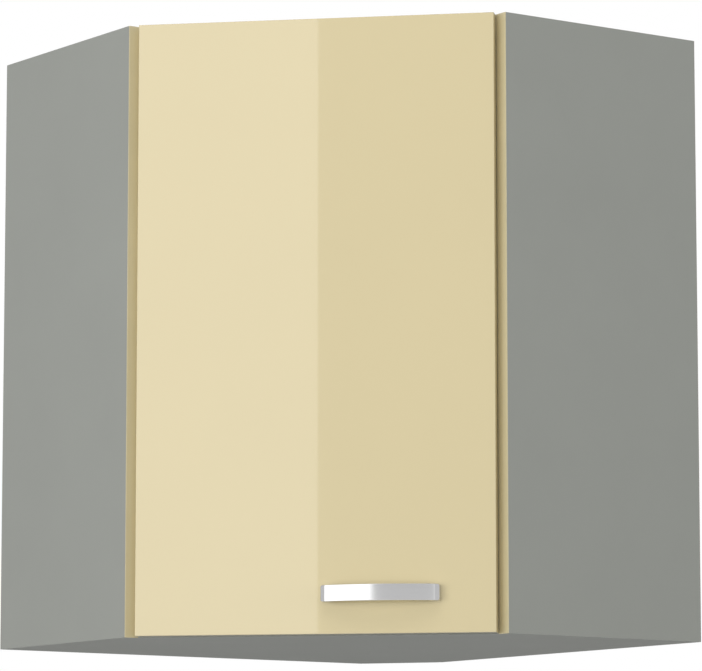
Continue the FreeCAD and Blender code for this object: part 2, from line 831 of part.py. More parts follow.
def boards():
    """The boards, sheets and bands of the carcass."""
    left_joint = joint_holes()
    right_joint = [mirrored(hole) for hole in left_joint]
    left_nails, right_nails = nails(hole_play)
    all_nails = left_nails + right_nails
    plate_holes = [plate_screw(z, side, pin_play) for z in hinge_heights for side in (-1, 1)]
    plate_holes += [arm_screw(z, pin_play) for z in hinge_heights]
    tab_holes = [hanger_tab_screw(side, hole_play) for side in (-1, 1)]
    corner_holes = corner_screws(hole_play)
    left = side_panel(left_joint + pin_holes() + left_nails + plate_holes + tab_holes)
    right = side_panel(left_joint + pin_holes() + tab_holes + [mirrored(hole) for hole in right_nails])
    panel_holes = left_joint + right_joint + all_nails + corner_holes
    shelves = [flat_panel(z, shelf_side_gap, shelf_setback, shelf_side_gap, []) for z in shelf_bottoms]
    return {
        "left_side_panel": left,
        "right_side_panel": mirrored(right),
        "bottom_panel": flat_panel(0, 0, 0, 0, panel_holes),
        "top_panel": flat_panel(height - board, 0, 0, 0, panel_holes),
        "lower_shelf": shelves[0],
        "upper_shelf": shelves[1],
        "corner_board": corner_board(all_nails + corner_holes + corner_pin_holes()),
        "left_back_sheet": back_sheet_left(left_nails),
        "right_back_sheet": back_sheet_right(right_nails),
        "side_edge_bands": group([side_band(), mirrored(side_band())]),
        "top_bottom_edge_bands": group([flat_band(0, 0, 0), flat_band(height - board, 0, 0)]),
        "shelf_edge_bands": group([flat_band(z, shelf_side_gap, shelf_setback) for z in shelf_bottoms]),
    }


def fittings():
    """Pins, cams, dowels, nails and screws of the carcass."""
    cams = [cam_lock(column, z + board / 2) for z in panel_middles for column in cam_columns]
    bolts = [joint_bolt(column, z, 0, 0) for z in panel_middles for column in cam_columns]
    dowels = [joint_dowel(column, z, 0, 0) for z in panel_middles for column in dowel_columns]
    left_nails, right_nails = nails(0)
    return {
        "shelf_pins": group(shelf_pins()),
        "cam_locks": group(both_sides(cams)),
        "cam_bolts": group(both_sides(bolts)),
        "wooden_dowels": group(both_sides(dowels)),
        "back_sheet_nails": group(left_nails + right_nails),
        "corner_board_screws": group(corner_screws(0)),
    }


def hinges():
    """Both hinges, at the same distance from each end of the cabinet."""
    nodes = {}
    for name, z in zip(("lower", "upper"), hinge_heights):
        nodes[name + "_hinge_plate"] = mounting_plate(z)
        nodes[name + "_hinge_arm"] = hinge_arm(z)
        nodes[name + "_hinge_link"] = hinge_link(z)
        nodes[name + "_hinge_cup"] = on_door(hinge_cup(z))
    nodes["hinge_arm_pins"] = group([arm_pin(z) for z in hinge_heights])
    nodes["hinge_cup_pins"] = group([on_door(cup_pin(z)) for z in hinge_heights])
    places = [(z, side) for z in hinge_heights for side in (-1, 1)]
    nodes["hinge_cup_screws"] = group([on_door(cup_screw(z, side, 0)) for z, side in places])
    nodes["hinge_plate_screws"] = group([plate_screw(z, side, 0) for z, side in places])
    nodes["hinge_arm_screws"] = group([arm_screw(z, 0) for z in hinge_heights])
    return nodes


def door():
    """The door with what is fixed to it, apart from the hinge cups."""
    return {
        "door_panel": on_door(door_panel()),
        "handle_bar": on_door(handle_bar()),
        "handle_screws": group([on_door(handle_screw(side)) for side in (-1, 1)]),
        "door_bumpers": group([on_door(door_bumper(z)) for z in panel_middles]),
    }


def hangers():
    """Both hangers, which hold the cabinet on the walls."""
    screws = [hanger_tab_screw(side, 0) for side in (-1, 1)]
    adjusters = [adjuster(side, 0) for side in (-1, 1)]
    return {
        "left_hanger_housing": hanger_housing(),
        "right_hanger_housing": mirrored(hanger_housing()),
        "left_hanger_carriage": hanger_carriage(),
        "right_hanger_carriage": mirrored(hanger_carriage()),
        "left_hanger_hook": hanger_hook(),
        "right_hanger_hook": mirrored(hanger_hook()),
        "hanger_adjusting_screws": group(both_sides(adjusters)),
        "hanger_fixing_screws": group(both_sides(screws)),
    }


def main():
    """Make every node."""
    nodes = {}
    nodes.update(boards())
    nodes.update(fittings())
    nodes.update(hinges())
    nodes.update(door())
    nodes.update(hangers())
    export(nodes)
    print(len(nodes), "nodes")


main()
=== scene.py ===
"""Looks of a diagonal corner wall cabinet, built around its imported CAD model.

Lengths are in metres. The frame is the CAD model's own: +Z is up, the walls are the planes x = -0.3 and
y = 0.3, and the door faces +X and -Y.
"""

import json
import logging
import math
from dataclasses import dataclass
from enum import Enum
from typing import Any, Callable, ClassVar, Iterable, Optional, Sequence

import bmesh
import bpy
from bmesh.types import BMEdge, BMesh, BMVert
from bpy.types import Material, Node, NodeSocket, NodeTree, Object
from mathutils import Matrix, Vector

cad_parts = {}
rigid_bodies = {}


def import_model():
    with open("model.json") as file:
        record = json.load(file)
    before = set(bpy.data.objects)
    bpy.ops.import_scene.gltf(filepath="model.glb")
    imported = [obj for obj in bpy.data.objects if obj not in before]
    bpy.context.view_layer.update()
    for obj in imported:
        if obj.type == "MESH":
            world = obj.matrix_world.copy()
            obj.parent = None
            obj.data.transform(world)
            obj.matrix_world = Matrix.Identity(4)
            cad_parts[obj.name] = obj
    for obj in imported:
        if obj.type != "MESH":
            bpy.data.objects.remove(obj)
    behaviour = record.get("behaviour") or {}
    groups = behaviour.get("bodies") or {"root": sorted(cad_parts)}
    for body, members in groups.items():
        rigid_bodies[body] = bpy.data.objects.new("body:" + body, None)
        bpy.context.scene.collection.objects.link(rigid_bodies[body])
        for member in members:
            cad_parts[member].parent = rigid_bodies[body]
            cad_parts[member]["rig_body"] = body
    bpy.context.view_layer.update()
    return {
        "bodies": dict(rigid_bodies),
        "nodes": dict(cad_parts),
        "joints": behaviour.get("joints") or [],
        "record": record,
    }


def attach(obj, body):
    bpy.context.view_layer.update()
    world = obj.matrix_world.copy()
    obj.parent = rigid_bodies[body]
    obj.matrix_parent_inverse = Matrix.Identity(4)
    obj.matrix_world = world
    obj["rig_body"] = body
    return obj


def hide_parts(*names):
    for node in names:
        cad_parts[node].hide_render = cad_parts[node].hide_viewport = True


LOG = logging.getLogger("corner_cabinet")
MM = 0.001
NEAR = 1e-6

Colour = tuple[float, float, float]
Point = tuple[float, float, float]
Pair = tuple[float, float]
Shades = tuple[Colour, Colour]

X_AXIS: Point = (1.0, 0.0, 0.0)
Y_AXIS: Point = (0.0, 1.0, 0.0)
Z_AXIS: Point = (0.0, 0.0, 1.0)
WHITE: Colour = (1.0, 1.0, 1.0)
BOARD_GREY: Colour = (0.285, 0.295, 0.270)


class Slot(Enum):
    """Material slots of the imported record."""

    BOARD = "grey_board"
    GREY_BAND = "grey_band"
    CREAM_BAND = "cream_band"
    DOOR = "cream_door"
    HARDBOARD = "hardboard"
    CHROME = "chrome"
    NICKEL = "nickel"
    STEEL = "bright_steel"
    ZINC = "zinc"
    BEECH = "beech"
    BUMPER = "soft_bumper"
    PLASTIC = "white_plastic"


class Side(Enum):
    """The two sides of the cabinet's diagonal."""

    LEFT = "left"
    RIGHT = "right"


class Level(Enum):
    """The two hinges, by their height."""

    LOWER = "lower"
    UPPER = "upper"


@dataclass(frozen=True)
class Plan:
    """The cabinet's main sizes and the places that follow from them."""

    half_width: float = 300 * MM
    height: float = 720 * MM
    side_depth: float = 284.5 * MM
    board: float = 18 * MM
    back_sheet: float = 3 * MM
    cut_left: float = 65 * MM
    cut_right: float = 85 * MM

    @property
    def front_edge(self) -> float:
        """Where the left side panel ends, along X."""
        return -self.half_width + self.side_depth

    @property
    def inner_face(self) -> float:
        """The left side panel's inner face, along Y."""
        return -self.half_width + self.board

    @property
    def opening(self) -> float:
        """Width of the opening between the side panels' inner corners."""
        return (2 * self.half_width - self.side_depth - self.board) * math.sqrt(2)

    @property
    def board_middles(self) -> Pair:
        """The heights of the middles of the bottom and of the top panel."""
        return self.board / 2, self.height - self.board / 2

    @property
    def shelf_middles(self) -> Pair:
        """The heights of the middles of the two shelves, which share out the height evenly."""
        bottom, top = self.board_middles
        third = (top - bottom) / 3
        return bottom + third, top - third

    @property
    def door(self) -> Matrix:
        """Places a piece drawn flat to the door: x along it, y into the cabinet, z up."""
        turn = Matrix.Rotation(math.pi / 4, 4, "Z")
        return Matrix.Translation((self.front_edge, self.inner_face, 0)) @ turn

    @property
    def mirror(self) -> Matrix:
        """Swaps the two sides of the cabinet's diagonal."""
        return Matrix(((0, -1, 0, 0), (-1, 0, 0, 0), (0, 0, 1, 0), (0, 0, 0, 1)))

    @property
    def corner_inward(self) -> Vector:
        """The direction into the cabinet, square to its cut-off corner."""
        length = math.hypot(self.cut_left, self.cut_right)
        return Vector((self.cut_left / length, -self.cut_right / length, 0))

    @property
    def corner_middle(self) -> Vector:
        """The middle of the cut-off corner's outer line, at the underside."""
        return Vector((-self.half_width + self.cut_right / 2, self.half_width - self.cut_left / 2, 0))


PLAN = Plan()


@dataclass(frozen=True)
class Noise:
    """A noise texture: its features in a metre, its octaves, and the share of the finer ones."""

    scale: float
    detail: float
    roughness: float


class Graph:
    """A node tree with short calls that add nodes and join them."""

    def __init__(self, tree: NodeTree) -> None:
        """Start on an empty tree.

        Args:
            tree: The tree of a material, of the world or of a group.
        """
        self.tree = tree
        self.tree.nodes.clear()

    def add(self, kind: str, **settings: Any) -> Node:
        """Add a node.

        Args:
            kind: The node's type, without its ShaderNode prefix.
            **settings: Properties to set on the node.

        Returns:
            The new node.
        """
        prefix = "" if kind.startswith("NodeGroup") else "ShaderNode"
        node = self.tree.nodes.new(prefix + kind)
        for name, value in settings.items():
            setattr(node, name, value)
        return node

    def feed(self, socket: NodeSocket, value: Any) -> None:
        """Join an output to an input socket, or set the socket's own value."""
        if isinstance(value, NodeSocket):
            self.tree.links.new(value, socket)
        elif socket.type == "RGBA":
            socket.default_value = (*value, 1.0)
        else:
            socket.default_value = value

    def fill(self, node: Node, values: dict[Any, Any]) -> Node:
        """Join or set a node's inputs, by their names or places, and return the node."""
        for key, value in values.items():
            self.feed(node.inputs[key], value)
        return node

    def math(self, operation: str, first: Any, second: Any = 0.0) -> NodeSocket:
        """The result of a Math node's operation on two sockets or numbers."""
        return self.fill(self.add("Math", operation=operation), {0: first, 1: second}).outputs[0]

    def times(self, first: Any, second: Any) -> NodeSocket:
        """The product of two sockets or numbers."""
        return self.math("MULTIPLY", first, second)

    def weigh(self, weights: Sequence[float], first: Any, *others: Any) -> NodeSocket:
        """The sum of values, each times its weight."""
        total = self.times(first, weights[0])
        for value, weight in zip(others, weights[1:]):
            total = self.math("ADD", total, self.times(value, weight))
        return total

    def blend(self, factor: Any, first: Any, second: Any) -> NodeSocket:
        """Mix two colours by a factor, from the first to the second."""
        return self.fill(self.add("Mix", data_type="RGBA"), {0: factor, 6: first, 7: second}).outputs[2]

    def span(self, value: Any, start: float, end: float, low: float = 0.0, high: float = 1.0) -> NodeSocket:
        """Map a number from the range of start to end to that of low to high, and hold it there."""
        numbers = enumerate((value, start, end, low, high))
        return self.fill(self.add("MapRange"), dict(numbers)).outputs[0]

    def place(self, scale: Point = (1.0, 1.0, 1.0)) -> NodeSocket:
        """Object coordinates, stretched by scale."""
        coordinates = self.add("TexCoord").outputs["Object"]
        if scale == (1.0, 1.0, 1.0):
            return coordinates
        stretched = self.add("Mapping", vector_type="POINT")
        return self.fill(stretched, {"Vector": coordinates, "Scale": scale}).outputs[0]

    def along(self, axis: Point) -> NodeSocket:
        """The distance from the origin along an axis, in Object coordinates."""
        node = self.add("VectorMath", operation="DOT_PRODUCT")
        return self.fill(node, {0: self.place(), 1: axis}).outputs["Value"]

    def noise(self, vector: NodeSocket, kind: Noise) -> NodeSocket:
        """A noise value from 0 to 1."""
        words = {"Scale": kind.scale, "Detail": kind.detail, "Roughness": kind.roughness}
        return self.fill(self.add("TexNoise"), {"Vector": vector, **words}).outputs[0]

    def cells(self, vector: NodeSocket, scale: float) -> Node:
        """A Voronoi texture of cells, as a node."""
        return self.fill(self.add("TexVoronoi", feature="F1"), {"Vector": vector, "Scale": scale})

    def bump(self, height: NodeSocket, depth: float) -> NodeSocket:
        """A normal from a height of 0 to 1, which stands for a real depth."""
        return self.fill(self.add("Bump"), {"Distance": depth, "Height": height}).outputs[0]

    def mix(self, factor: NodeSocket, first: Node, second: Node) -> Node:
        """Mix two shaders by a factor, from the first to the second."""
        shaders = {0: factor, 1: first.outputs[0], 2: second.outputs[0]}
        return self.fill(self.add("MixShader"), shaders)

    def end(self, output: str, shader: Node) -> None:
        """Join a shader to a new output node."""
        self.fill(self.add(output), {"Surface": shader.outputs[0]})

    def effect(self, recipe: "Recipe", vector: NodeSocket) -> Node:
        """Place a node group that several finishes share.

        Args:
            recipe: The function that fills the group. It is called on the group's first use.
            vector: The coordinates' socket.

        Returns:
            The group's node.
        """
        tree = bpy.data.node_groups.get(recipe.__name__)
        if tree is None:
            tree = bpy.data.node_groups.new(recipe.__name__, "ShaderNodeTree")
            tree.interface.new_socket("Vector", in_out="INPUT", socket_type="NodeSocketVector")
            inner = Graph(tree)
            results = recipe(inner, inner.add("NodeGroupInput").outputs["Vector"])
            for label, socket in results.items():
                kind = "NodeSocketColor" if socket.type == "RGBA" else "NodeSocketFloat"
                tree.interface.new_socket(label, in_out="OUTPUT", socket_type=kind)
            inner.fill(inner.add("NodeGroupOutput"), results)
        return self.fill(self.add("Group", node_tree=tree), {"Vector": vector})


Recipe = Callable[[Graph, NodeSocket], dict[str, NodeSocket]]
Sockets = tuple[NodeSocket, NodeSocket, NodeSocket]

FINE_GRAIN = Noise(1400.0, 2.0, 0.55)
GRAIN_CLOUDS = Noise(9.0, 4.0, 0.6)
GRAIN_TONE: Pair = (0.55, 0.45)
GRAIN_HEIGHT: Pair = (0.6, 0.4)
PORES_PER_METRE = 900.0
PORE_RANGE: Pair = (0.05, 0.45)
CHIPS_PER_METRE = 420.0
CHIP_DUST = Noise(1900.0, 3.0, 0.7)
CHIP_SHADES: Shades = ((0.23, 0.14, 0.07), (0.60, 0.45, 0.28))
CHIP_MIX: Pair = (0.7, 0.3)
RUBBED_PATCHES = Noise(24.0, 5.0, 0.62)
HAIRLINES = Noise(620.0, 2.0, 0.8)
MARKS_MIX: Pair = (0.7, 0.3)


def pearl_grain(graph: Graph, vector: NodeSocket) -> dict[str, NodeSocket]:
    """Fine embossed grain of faced boards, bands and mouldings: a tone and a height."""
    fine = graph.noise(vector, FINE_GRAIN)
    pores = graph.span(graph.cells(vector, PORES_PER_METRE).outputs["Distance"], *PORE_RANGE)
    clouds = graph.noise(vector, GRAIN_CLOUDS)
    return {
        "Tone": graph.weigh(GRAIN_TONE, clouds, fine),
        "Height": graph.weigh(GRAIN_HEIGHT, fine, pores),
    }


def chipboard(graph: Graph, vector: NodeSocket) -> dict[str, NodeSocket]:
    """The open core of a chipboard: pressed chips, as a colour and a height."""
    chips = graph.cells(vector, CHIPS_PER_METRE)
    chip_tone = graph.fill(graph.add("SeparateColor"), {0: chips.outputs["Color"]}).outputs[0]
    mixed = graph.weigh(CHIP_MIX, chip_tone, graph.noise(vector, CHIP_DUST))
    ramp = graph.fill(graph.add("ValToRGB"), {0: mixed})
    for stop, colour in zip(ramp.color_ramp.elements, CHIP_SHADES):
        stop.color = (*colour, 1.0)
    return {"Color": ramp.outputs[0], "Height": graph.math("ADD", mixed, chips.outputs["Distance"])}


def handling_marks(graph: Graph, vector: NodeSocket) -> dict[str, NodeSocket]:
    """Faint rubbed patches and hairlines on metal and lacquer, as one value about 0.5."""
    patches = graph.noise(vector, RUBBED_PATCHES)
    return {"Value": graph.weigh(MARKS_MIX, patches, graph.noise(vector, HAIRLINES))}


def tones(colour: Colour, low: float, high: float) -> Shades:
    """A colour's darkest and lightest shade, by their shares of it."""
    return tuple(part * low for part in colour), tuple(min(1.0, part * high) for part in colour)


def blank_material(name: str) -> tuple[Material, Graph]:
    """A new material and the graph of its empty node tree."""
    made = bpy.data.materials.new(name)
    made.use_nodes = True
    return made, Graph(made.node_tree)


@dataclass(frozen=True)
class Finish:
    """A surface finish, made into a material once and then shared.

    Attributes:
        slot: The record's slot that it belongs to. It is not used.
        name: The material's name.
        shades: The darkest and the lightest colour.
        rough: The roughness where the pattern is lowest and where it is highest.
        relief: The pattern's real depth.
    """

    slot: Slot
    name: str
    shades: Shades
    rough: Pair
    relief: float = 0.0
    pattern_range: Pair = (0.3, 0.7)
    constants: ClassVar[dict[str, float]] = {}

    def material(self) -> Material:
        """The finish's material.

        Returns:
            The material, made on the first call.
        """
        found = bpy.data.materials.get(self.name)
        if found:
            return found
        made, graph = blank_material(self.name)
        colour, rough, height = self.pattern(graph)
        values = {"Base Color": colour, "Roughness": rough, **self.constants}
        if self.relief:
            values["Normal"] = graph.bump(height, self.relief)
        graph.end("OutputMaterial", graph.fill(graph.add("BsdfPrincipled"), values))
        return made

    def pattern(self, graph: Graph) -> Sockets:
        """The colour, the roughness and the relief's height."""
        raise NotImplementedError

    def tone(self, graph: Graph, value: NodeSocket) -> NodeSocket:
        """The colour, from the darkest to the lightest as a pattern rises."""
        return graph.blend(graph.span(value, *self.pattern_range), *self.shades)

    def roughness(self, graph: Graph, value: NodeSocket) -> NodeSocket:
        """The roughness, from the first to the second as a pattern rises."""
        return graph.span(value, *self.pattern_range, *self.rough)


@dataclass(frozen=True)
class FacedBoard(Finish):
    """Chipboard with a printed melamine face on both sides, and its open core on the cut edges.

    The faces lie square to face_axis, on both sides of middle. Edges below bands_below are banded.
    """

    shades: Shades = tones(BOARD_GREY, 0.965, 1.035)
    rough: Pair = (0.44, 0.52)
    relief: float = 0.5 * MM
    height_mix: Pair = (0.06, 0.5)
    core_rough: float = 0.85
    face: float = 0.5 * MM
    face_axis: Point = Z_AXIS
    middle: float = 0.0
    bands_below: float = -1.0

    def pattern(self, graph: Graph) -> Sockets:
        """The colour, the roughness and the relief's height."""
        vector = graph.place()
        grain = graph.effect(pearl_grain, vector).outputs
        core = graph.effect(chipboard, vector).outputs
        depth = graph.math("ABSOLUTE", graph.math("SUBTRACT", graph.along(self.face_axis), self.middle))
        inside = graph.math("LESS_THAN", depth, PLAN.board / 2 - self.face)
        is_core = graph.times(inside, graph.math("GREATER_THAN", graph.along(Z_AXIS), self.bands_below))
        colour = graph.blend(is_core, self.tone(graph, grain["Tone"]), core["Color"])
        face_rough = self.roughness(graph, grain["Tone"])
        rough = graph.math("MAXIMUM", face_rough, graph.times(is_core, self.core_rough))
        height = graph.weigh(self.height_mix, grain["Height"], graph.times(core["Height"], is_core))
        return colour, rough, height


@dataclass(frozen=True)
class Moulded(Finish):
    """A plastic: an edge band or a moulded part, with a fine even grain."""

    relief: float = 0.02 * MM

    def pattern(self, graph: Graph) -> Sockets:
        """The colour, the roughness and the relief's height."""
        grain = graph.effect(pearl_grain, graph.place()).outputs
        return self.tone(graph, grain["Tone"]), self.roughness(graph, grain["Tone"]), grain["Height"]


@dataclass(frozen=True)
class Lacquer(Finish):
    """A high-gloss lacquered door front, with a satin back that faces inward at back_plane."""

    shades: Shades = tones((0.645, 0.551, 0.323), 0.988, 1.012)
    rough: Pair = (0.01, 0.035)
    relief: float = 0.03 * MM
    clouds: Noise = Noise(3.2, 3.0, 0.5)
    peel: Noise = Noise(95.0, 1.0, 0.4)
    height_mix: Pair = (0.02, 0.6)
    back_rough: float = 0.34
    back_layer: float = 0.3 * MM
    inward: Point = Y_AXIS
    back_plane: float = 0.0
    constants: ClassVar[dict[str, float]] = {"IOR": 1.7}

    def pattern(self, graph: Graph) -> Sockets:
        """The colour, the roughness and the relief's height."""
        vector = graph.place()
        marks = graph.effect(handling_marks, vector).outputs["Value"]
        grain = graph.effect(pearl_grain, vector).outputs["Height"]
        is_back = graph.math("GREATER_THAN", graph.along(self.inward), self.back_plane - self.back_layer)
        colour = self.tone(graph, graph.noise(vector, self.clouds))
        rough = graph.math("MAXIMUM", self.roughness(graph, marks), graph.times(is_back, self.back_rough))
        peel = graph.noise(vector, self.peel)
        return colour, rough, graph.weigh(self.height_mix, peel, graph.times(grain, is_back))


@dataclass(frozen=True)
class Fibreboard(Finish):
    """Thin hardboard: raw and brown behind, where the press's screen is printed, and painted elsewhere."""

    shades: Shades = ((0.105, 0.060, 0.034), (0.215, 0.130, 0.075))
    rough: Pair = (0.5, 0.8)
    relief: float = 0.25 * MM
    pattern_range: Pair = (0.34, 0.66)
    painted: Colour = BOARD_GREY
    fibres: Noise = Noise(950.0, 5.0, 0.72)
    fibre_stretch: Point = (1.0, 1.0, 0.35)
    clouds: Noise = Noise(14.0, 4.0, 0.6)
    raw_mix: Pair = (0.8, 0.2)
    height_mix: tuple[float, float, float] = (0.5, 0.12, 0.5)
    wires_per_metre: float = 130.0
    inward: Point = X_AXIS
    painted_plane: float = 0.0
    painted_depth: float = 2.8 * MM

    def wires(self, graph: Graph, direction: str, stretch: Point) -> NodeSocket:
        """The prints of the screen's wires along one direction."""
        wave = graph.add("TexWave", wave_type="BANDS", bands_direction=direction)
        values = {"Vector": graph.place(stretch), "Scale": self.wires_per_metre}
        return graph.fill(wave, values).outputs["Fac"]

    def pattern(self, graph: Graph) -> Sockets:
        """The colour, the roughness and the relief's height."""
        vector = graph.place()
        fibres = graph.noise(graph.place(self.fibre_stretch), self.fibres)
        raw = self.tone(graph, graph.weigh(self.raw_mix, fibres, graph.noise(vector, self.clouds)))
        painted_from = self.painted_plane - self.painted_depth
        is_painted = graph.math("GREATER_THAN", graph.along(self.inward), painted_from)
        is_raw = graph.math("SUBTRACT", 1.0, is_painted)
        slanted = self.wires(graph, "DIAGONAL", (1.0, -1.0, 0.0))
        weave = graph.times(graph.times(slanted, self.wires(graph, "Z", (1.0, 1.0, 1.0))), is_raw)
        grain = graph.effect(pearl_grain, vector).outputs["Height"]
        height = graph.weigh(self.height_mix, weave, grain, graph.times(fibres, is_raw))
        colour = graph.blend(is_painted, raw, self.painted)
        return colour, graph.span(is_raw, 0.0, 1.0, *self.rough), height


@dataclass(frozen=True)
class Metal(Finish):
    """A plated or cast metal, rubbed along one direction."""

    relief: float = 0.004 * MM
    streaks: Point = (1.0, 1.0, 1.0)
    constants: ClassVar[dict[str, float]] = {"Metallic": 1.0}

    def pattern(self, graph: Graph) -> Sockets:
        """The colour, the roughness and the relief's height."""
        marks = graph.effect(handling_marks, graph.place(self.streaks)).outputs["Value"]
        return self.tone(graph, marks), self.roughness(graph, marks), marks


@dataclass(frozen=True)
class Timber(Finish):
    """Plain close-grained timber, with its grain upright."""

    relief: float = 0.06 * MM
    pattern_range: Pair = (0.3, 0.75)
    grain: Noise = Noise(900.0, 4.0, 0.65)
    grain_stretch: Point = (0.25, 0.25, 1.0)
    flecks_per_metre: float = 700.0
    fleck_stretch: Point = (0.3, 0.3, 1.0)
    grain_mix: Pair = (0.8, 0.3)

    def pattern(self, graph: Graph) -> Sockets:
        """The colour, the roughness and the relief's height."""
        grain = graph.noise(graph.place(self.grain_stretch), self.grain)
        flecks = graph.cells(graph.place(self.fleck_stretch), self.flecks_per_metre).outputs["Distance"]
        mixed = graph.weigh(self.grain_mix, grain, flecks)
        return self.tone(graph, mixed), self.roughness(graph, mixed), mixed


@dataclass(frozen=True)
class SoftClear(Finish):
    """A milky soft plastic."""

    clouds: Noise = Noise(500.0, 3.0, 0.6)
    constants: ClassVar[dict[str, float]] = {"Transmission Weight": 0.35, "IOR": 1.45}

    def pattern(self, graph: Graph) -> Sockets:
        """The colour, the roughness and the relief's height."""
        clouds = graph.noise(graph.place(), self.clouds)
        return graph.blend(clouds, *self.shades), self.roughness(graph, clouds), clouds


PLASTIC_TONES: Pair = (0.96, 1.04)
METAL_TONES: Pair = (0.95, 1.03)

CREAM_BAND = Moulded(
    Slot.CREAM_BAND, "cream_edge_band", tones((0.60, 0.53, 0.335), *PLASTIC_TONES), (0.31, 0.41)
)
GREY_BAND = Moulded(Slot.GREY_BAND, "grey_edge_band", tones(BOARD_GREY, *PLASTIC_TONES), (0.35, 0.45))
WHITE_PLASTIC = Moulded(
    Slot.PLASTIC, "white_plastic", tones((0.76, 0.76, 0.735), *PLASTIC_TONES), (0.33, 0.43), 0.05 * MM
)
NICKEL = Metal(Slot.NICKEL, "nickel_plate", tones((0.66, 0.645, 0.61), *METAL_TONES), (0.18, 0.30))
STEEL = Metal(Slot.STEEL, "bright_zinc_plate", tones((0.62, 0.625, 0.64), *METAL_TONES), (0.21, 0.33))
ZINC = Metal(Slot.ZINC, "cast_zinc", tones((0.50, 0.50, 0.505), *METAL_TONES), (0.34, 0.50), 0.02 * MM)
CHROME = Metal(
    Slot.CHROME, "satin_chrome", tones((0.62, 0.62, 0.623), *METAL_TONES), (0.14, 0.18), 0.0006 * MM,
    streaks=(0.15, 0.15, 3.0),
)
BEECH = Timber(Slot.BEECH, "beech", ((0.46, 0.29, 0.15), (0.66, 0.47, 0.28)), (0.7, 0.58))
BUMPER = SoftClear(Slot.BUMPER, "soft_bumper", tones((0.84, 0.85, 0.85), 0.93, 1.0), (0.22, 0.36))

RECESS_TAPER = 0.62
SMALL_PART_CREASE = 30.0
DOOR_CREASE = 40.0
ROUND_PART_CREASE = 50.0


def raised(height: float) -> Matrix:
    """Lifts a piece along z."""
    return Matrix.Translation((0, 0, height))


def facing(origin: Vector, direction: Sequence[float]) -> Matrix:
    """Places a piece drawn along +Z at an origin, with its z axis along a direction."""
    return Matrix.Translation(origin) @ Vector(direction).to_track_quat("Z", "Y").to_matrix().to_4x4()


def verts_of(items: Iterable[Any]) -> list[BMVert]:
    """The points among the items that a bmesh operator returned."""
    return [item for item in items if isinstance(item, BMVert)]


def ring(bm: BMesh, radius: float, segments: int, place: Matrix) -> list[BMEdge]:
    """Add a circle of edges, drawn about the z axis and then placed, and return them."""
    made = bmesh.ops.create_circle(bm, cap_ends=False, radius=radius, segments=segments, matrix=place)
    return list(dict.fromkeys(edge for vert in made["verts"] for edge in vert.link_edges))


def pull(bm: BMesh, edges: Iterable[BMEdge], scale: float, shift: Sequence[float]) -> list[BMEdge]:
    """Draw a loop of edges out to a new loop.

    Args:
        bm: The mesh.
        edges: The loop to start from.
        scale: The new loop's size, as a share of the old one's, about the z axis.
        shift: How far the new loop goes.

    Returns:
        The new loop's edges.
    """
    made = bmesh.ops.extrude_edge_only(bm, edges=list(edges))["geom"]
    verts = verts_of(made)
    bmesh.ops.scale(bm, vec=(scale, scale, 1.0), verts=verts)
    bmesh.ops.translate(bm, vec=shift, verts=verts)
    chosen = set(verts)
    return [item for item in made if isinstance(item, BMEdge) and chosen.issuperset(item.verts)]


def pull_down(bm: BMesh, loop: Iterable[BMEdge], steps: Iterable[Pair]) -> None:
    """Draw a loop on through steps of a scale and a rise, and close it at the last."""
    for scale, rise in steps:
        loop = pull(bm, loop, scale, (0, 0, rise))
    bmesh.ops.contextual_create(bm, geom=loop)


def cross_recess(
    bm: BMesh, rim: Sequence[BMEdge], height: float, arm: float, width: float, depth: float
) -> None:
    """Fill a round rim with a flat face that has a screwdriver's cross sunk in it.

    Args:
        bm: The mesh.
        rim: The round rim's edges.
        height: The face's height.
        arm: Length of each of the cross's arms.
        width: Half the width of an arm.
        depth: The recess's depth.
    """
    corner = ((arm, -width), (arm, width), (width, width))
    verts = []
    for quarter in range(4):
        turn = Matrix.Rotation(quarter * math.pi / 2, 4, "Z")
        verts += [bm.verts.new(turn @ Vector((x, y, height))) for x, y in corner]
    cross = [bm.edges.new(pair) for pair in zip(verts, verts[1:] + verts[:1])]
    bmesh.ops.triangle_fill(bm, edges=list(rim) + cross, use_beauty=True)
    pull_down(bm, cross, [(RECESS_TAPER, -depth)])


def turned(bm: BMesh, profile: Sequence[Pair], segments: int) -> None:
    """Turn a profile round the z axis.

    Args:
        bm: The mesh to add to.
        profile: Points of radius and height, from one end to the other.
        segments: Steps in a full turn.
    """
    verts = [bm.verts.new((radius, 0, height)) for radius, height in profile]
    edges = [bm.edges.new(pair) for pair in zip(verts, verts[1:])]
    bmesh.ops.spin(
        bm, geom=verts + edges, cent=(0, 0, 0), axis=Z_AXIS, dvec=(0, 0, 0), angle=math.tau, steps=segments,
        use_merge=True, use_duplicate=False,
    )
    bmesh.ops.remove_doubles(bm, verts=bm.verts, dist=NEAR / 10)


def round_off(bm: BMesh, edges: Sequence[BMEdge], radius: float, steps: int) -> None:
    """Round edges to a radius, in a number of steps."""
    bmesh.ops.bevel(
        bm, geom=edges, offset=radius, offset_type="OFFSET", affect="EDGES", segments=steps, profile=0.5,
        material=-1, clamp_overlap=True,
    )


def copies(pattern: BMesh, places: Iterable[Matrix]) -> BMesh:
    """Put placed copies of a mesh together in a new one.

    Args:
        pattern: The mesh to copy, which is freed.
        places: Where each copy goes.

    Returns:
        The new mesh.
    """
    whole = bmesh.new()
    for place in places:
        mesh = bpy.data.meshes.new("copy")
        pattern.to_mesh(mesh)
        mesh.transform(place)
        if place.determinant() < 0:
            mesh.flip_normals()
        whole.from_mesh(mesh)
        bpy.data.meshes.remove(mesh)
    pattern.free()
    return whole


def add_object(name: str, data: Any) -> Object:
    """Add a new object to the scene, at the origin."""
    made = bpy.data.objects.new(name, data)
    bpy.context.scene.collection.objects.link(made)
    return made


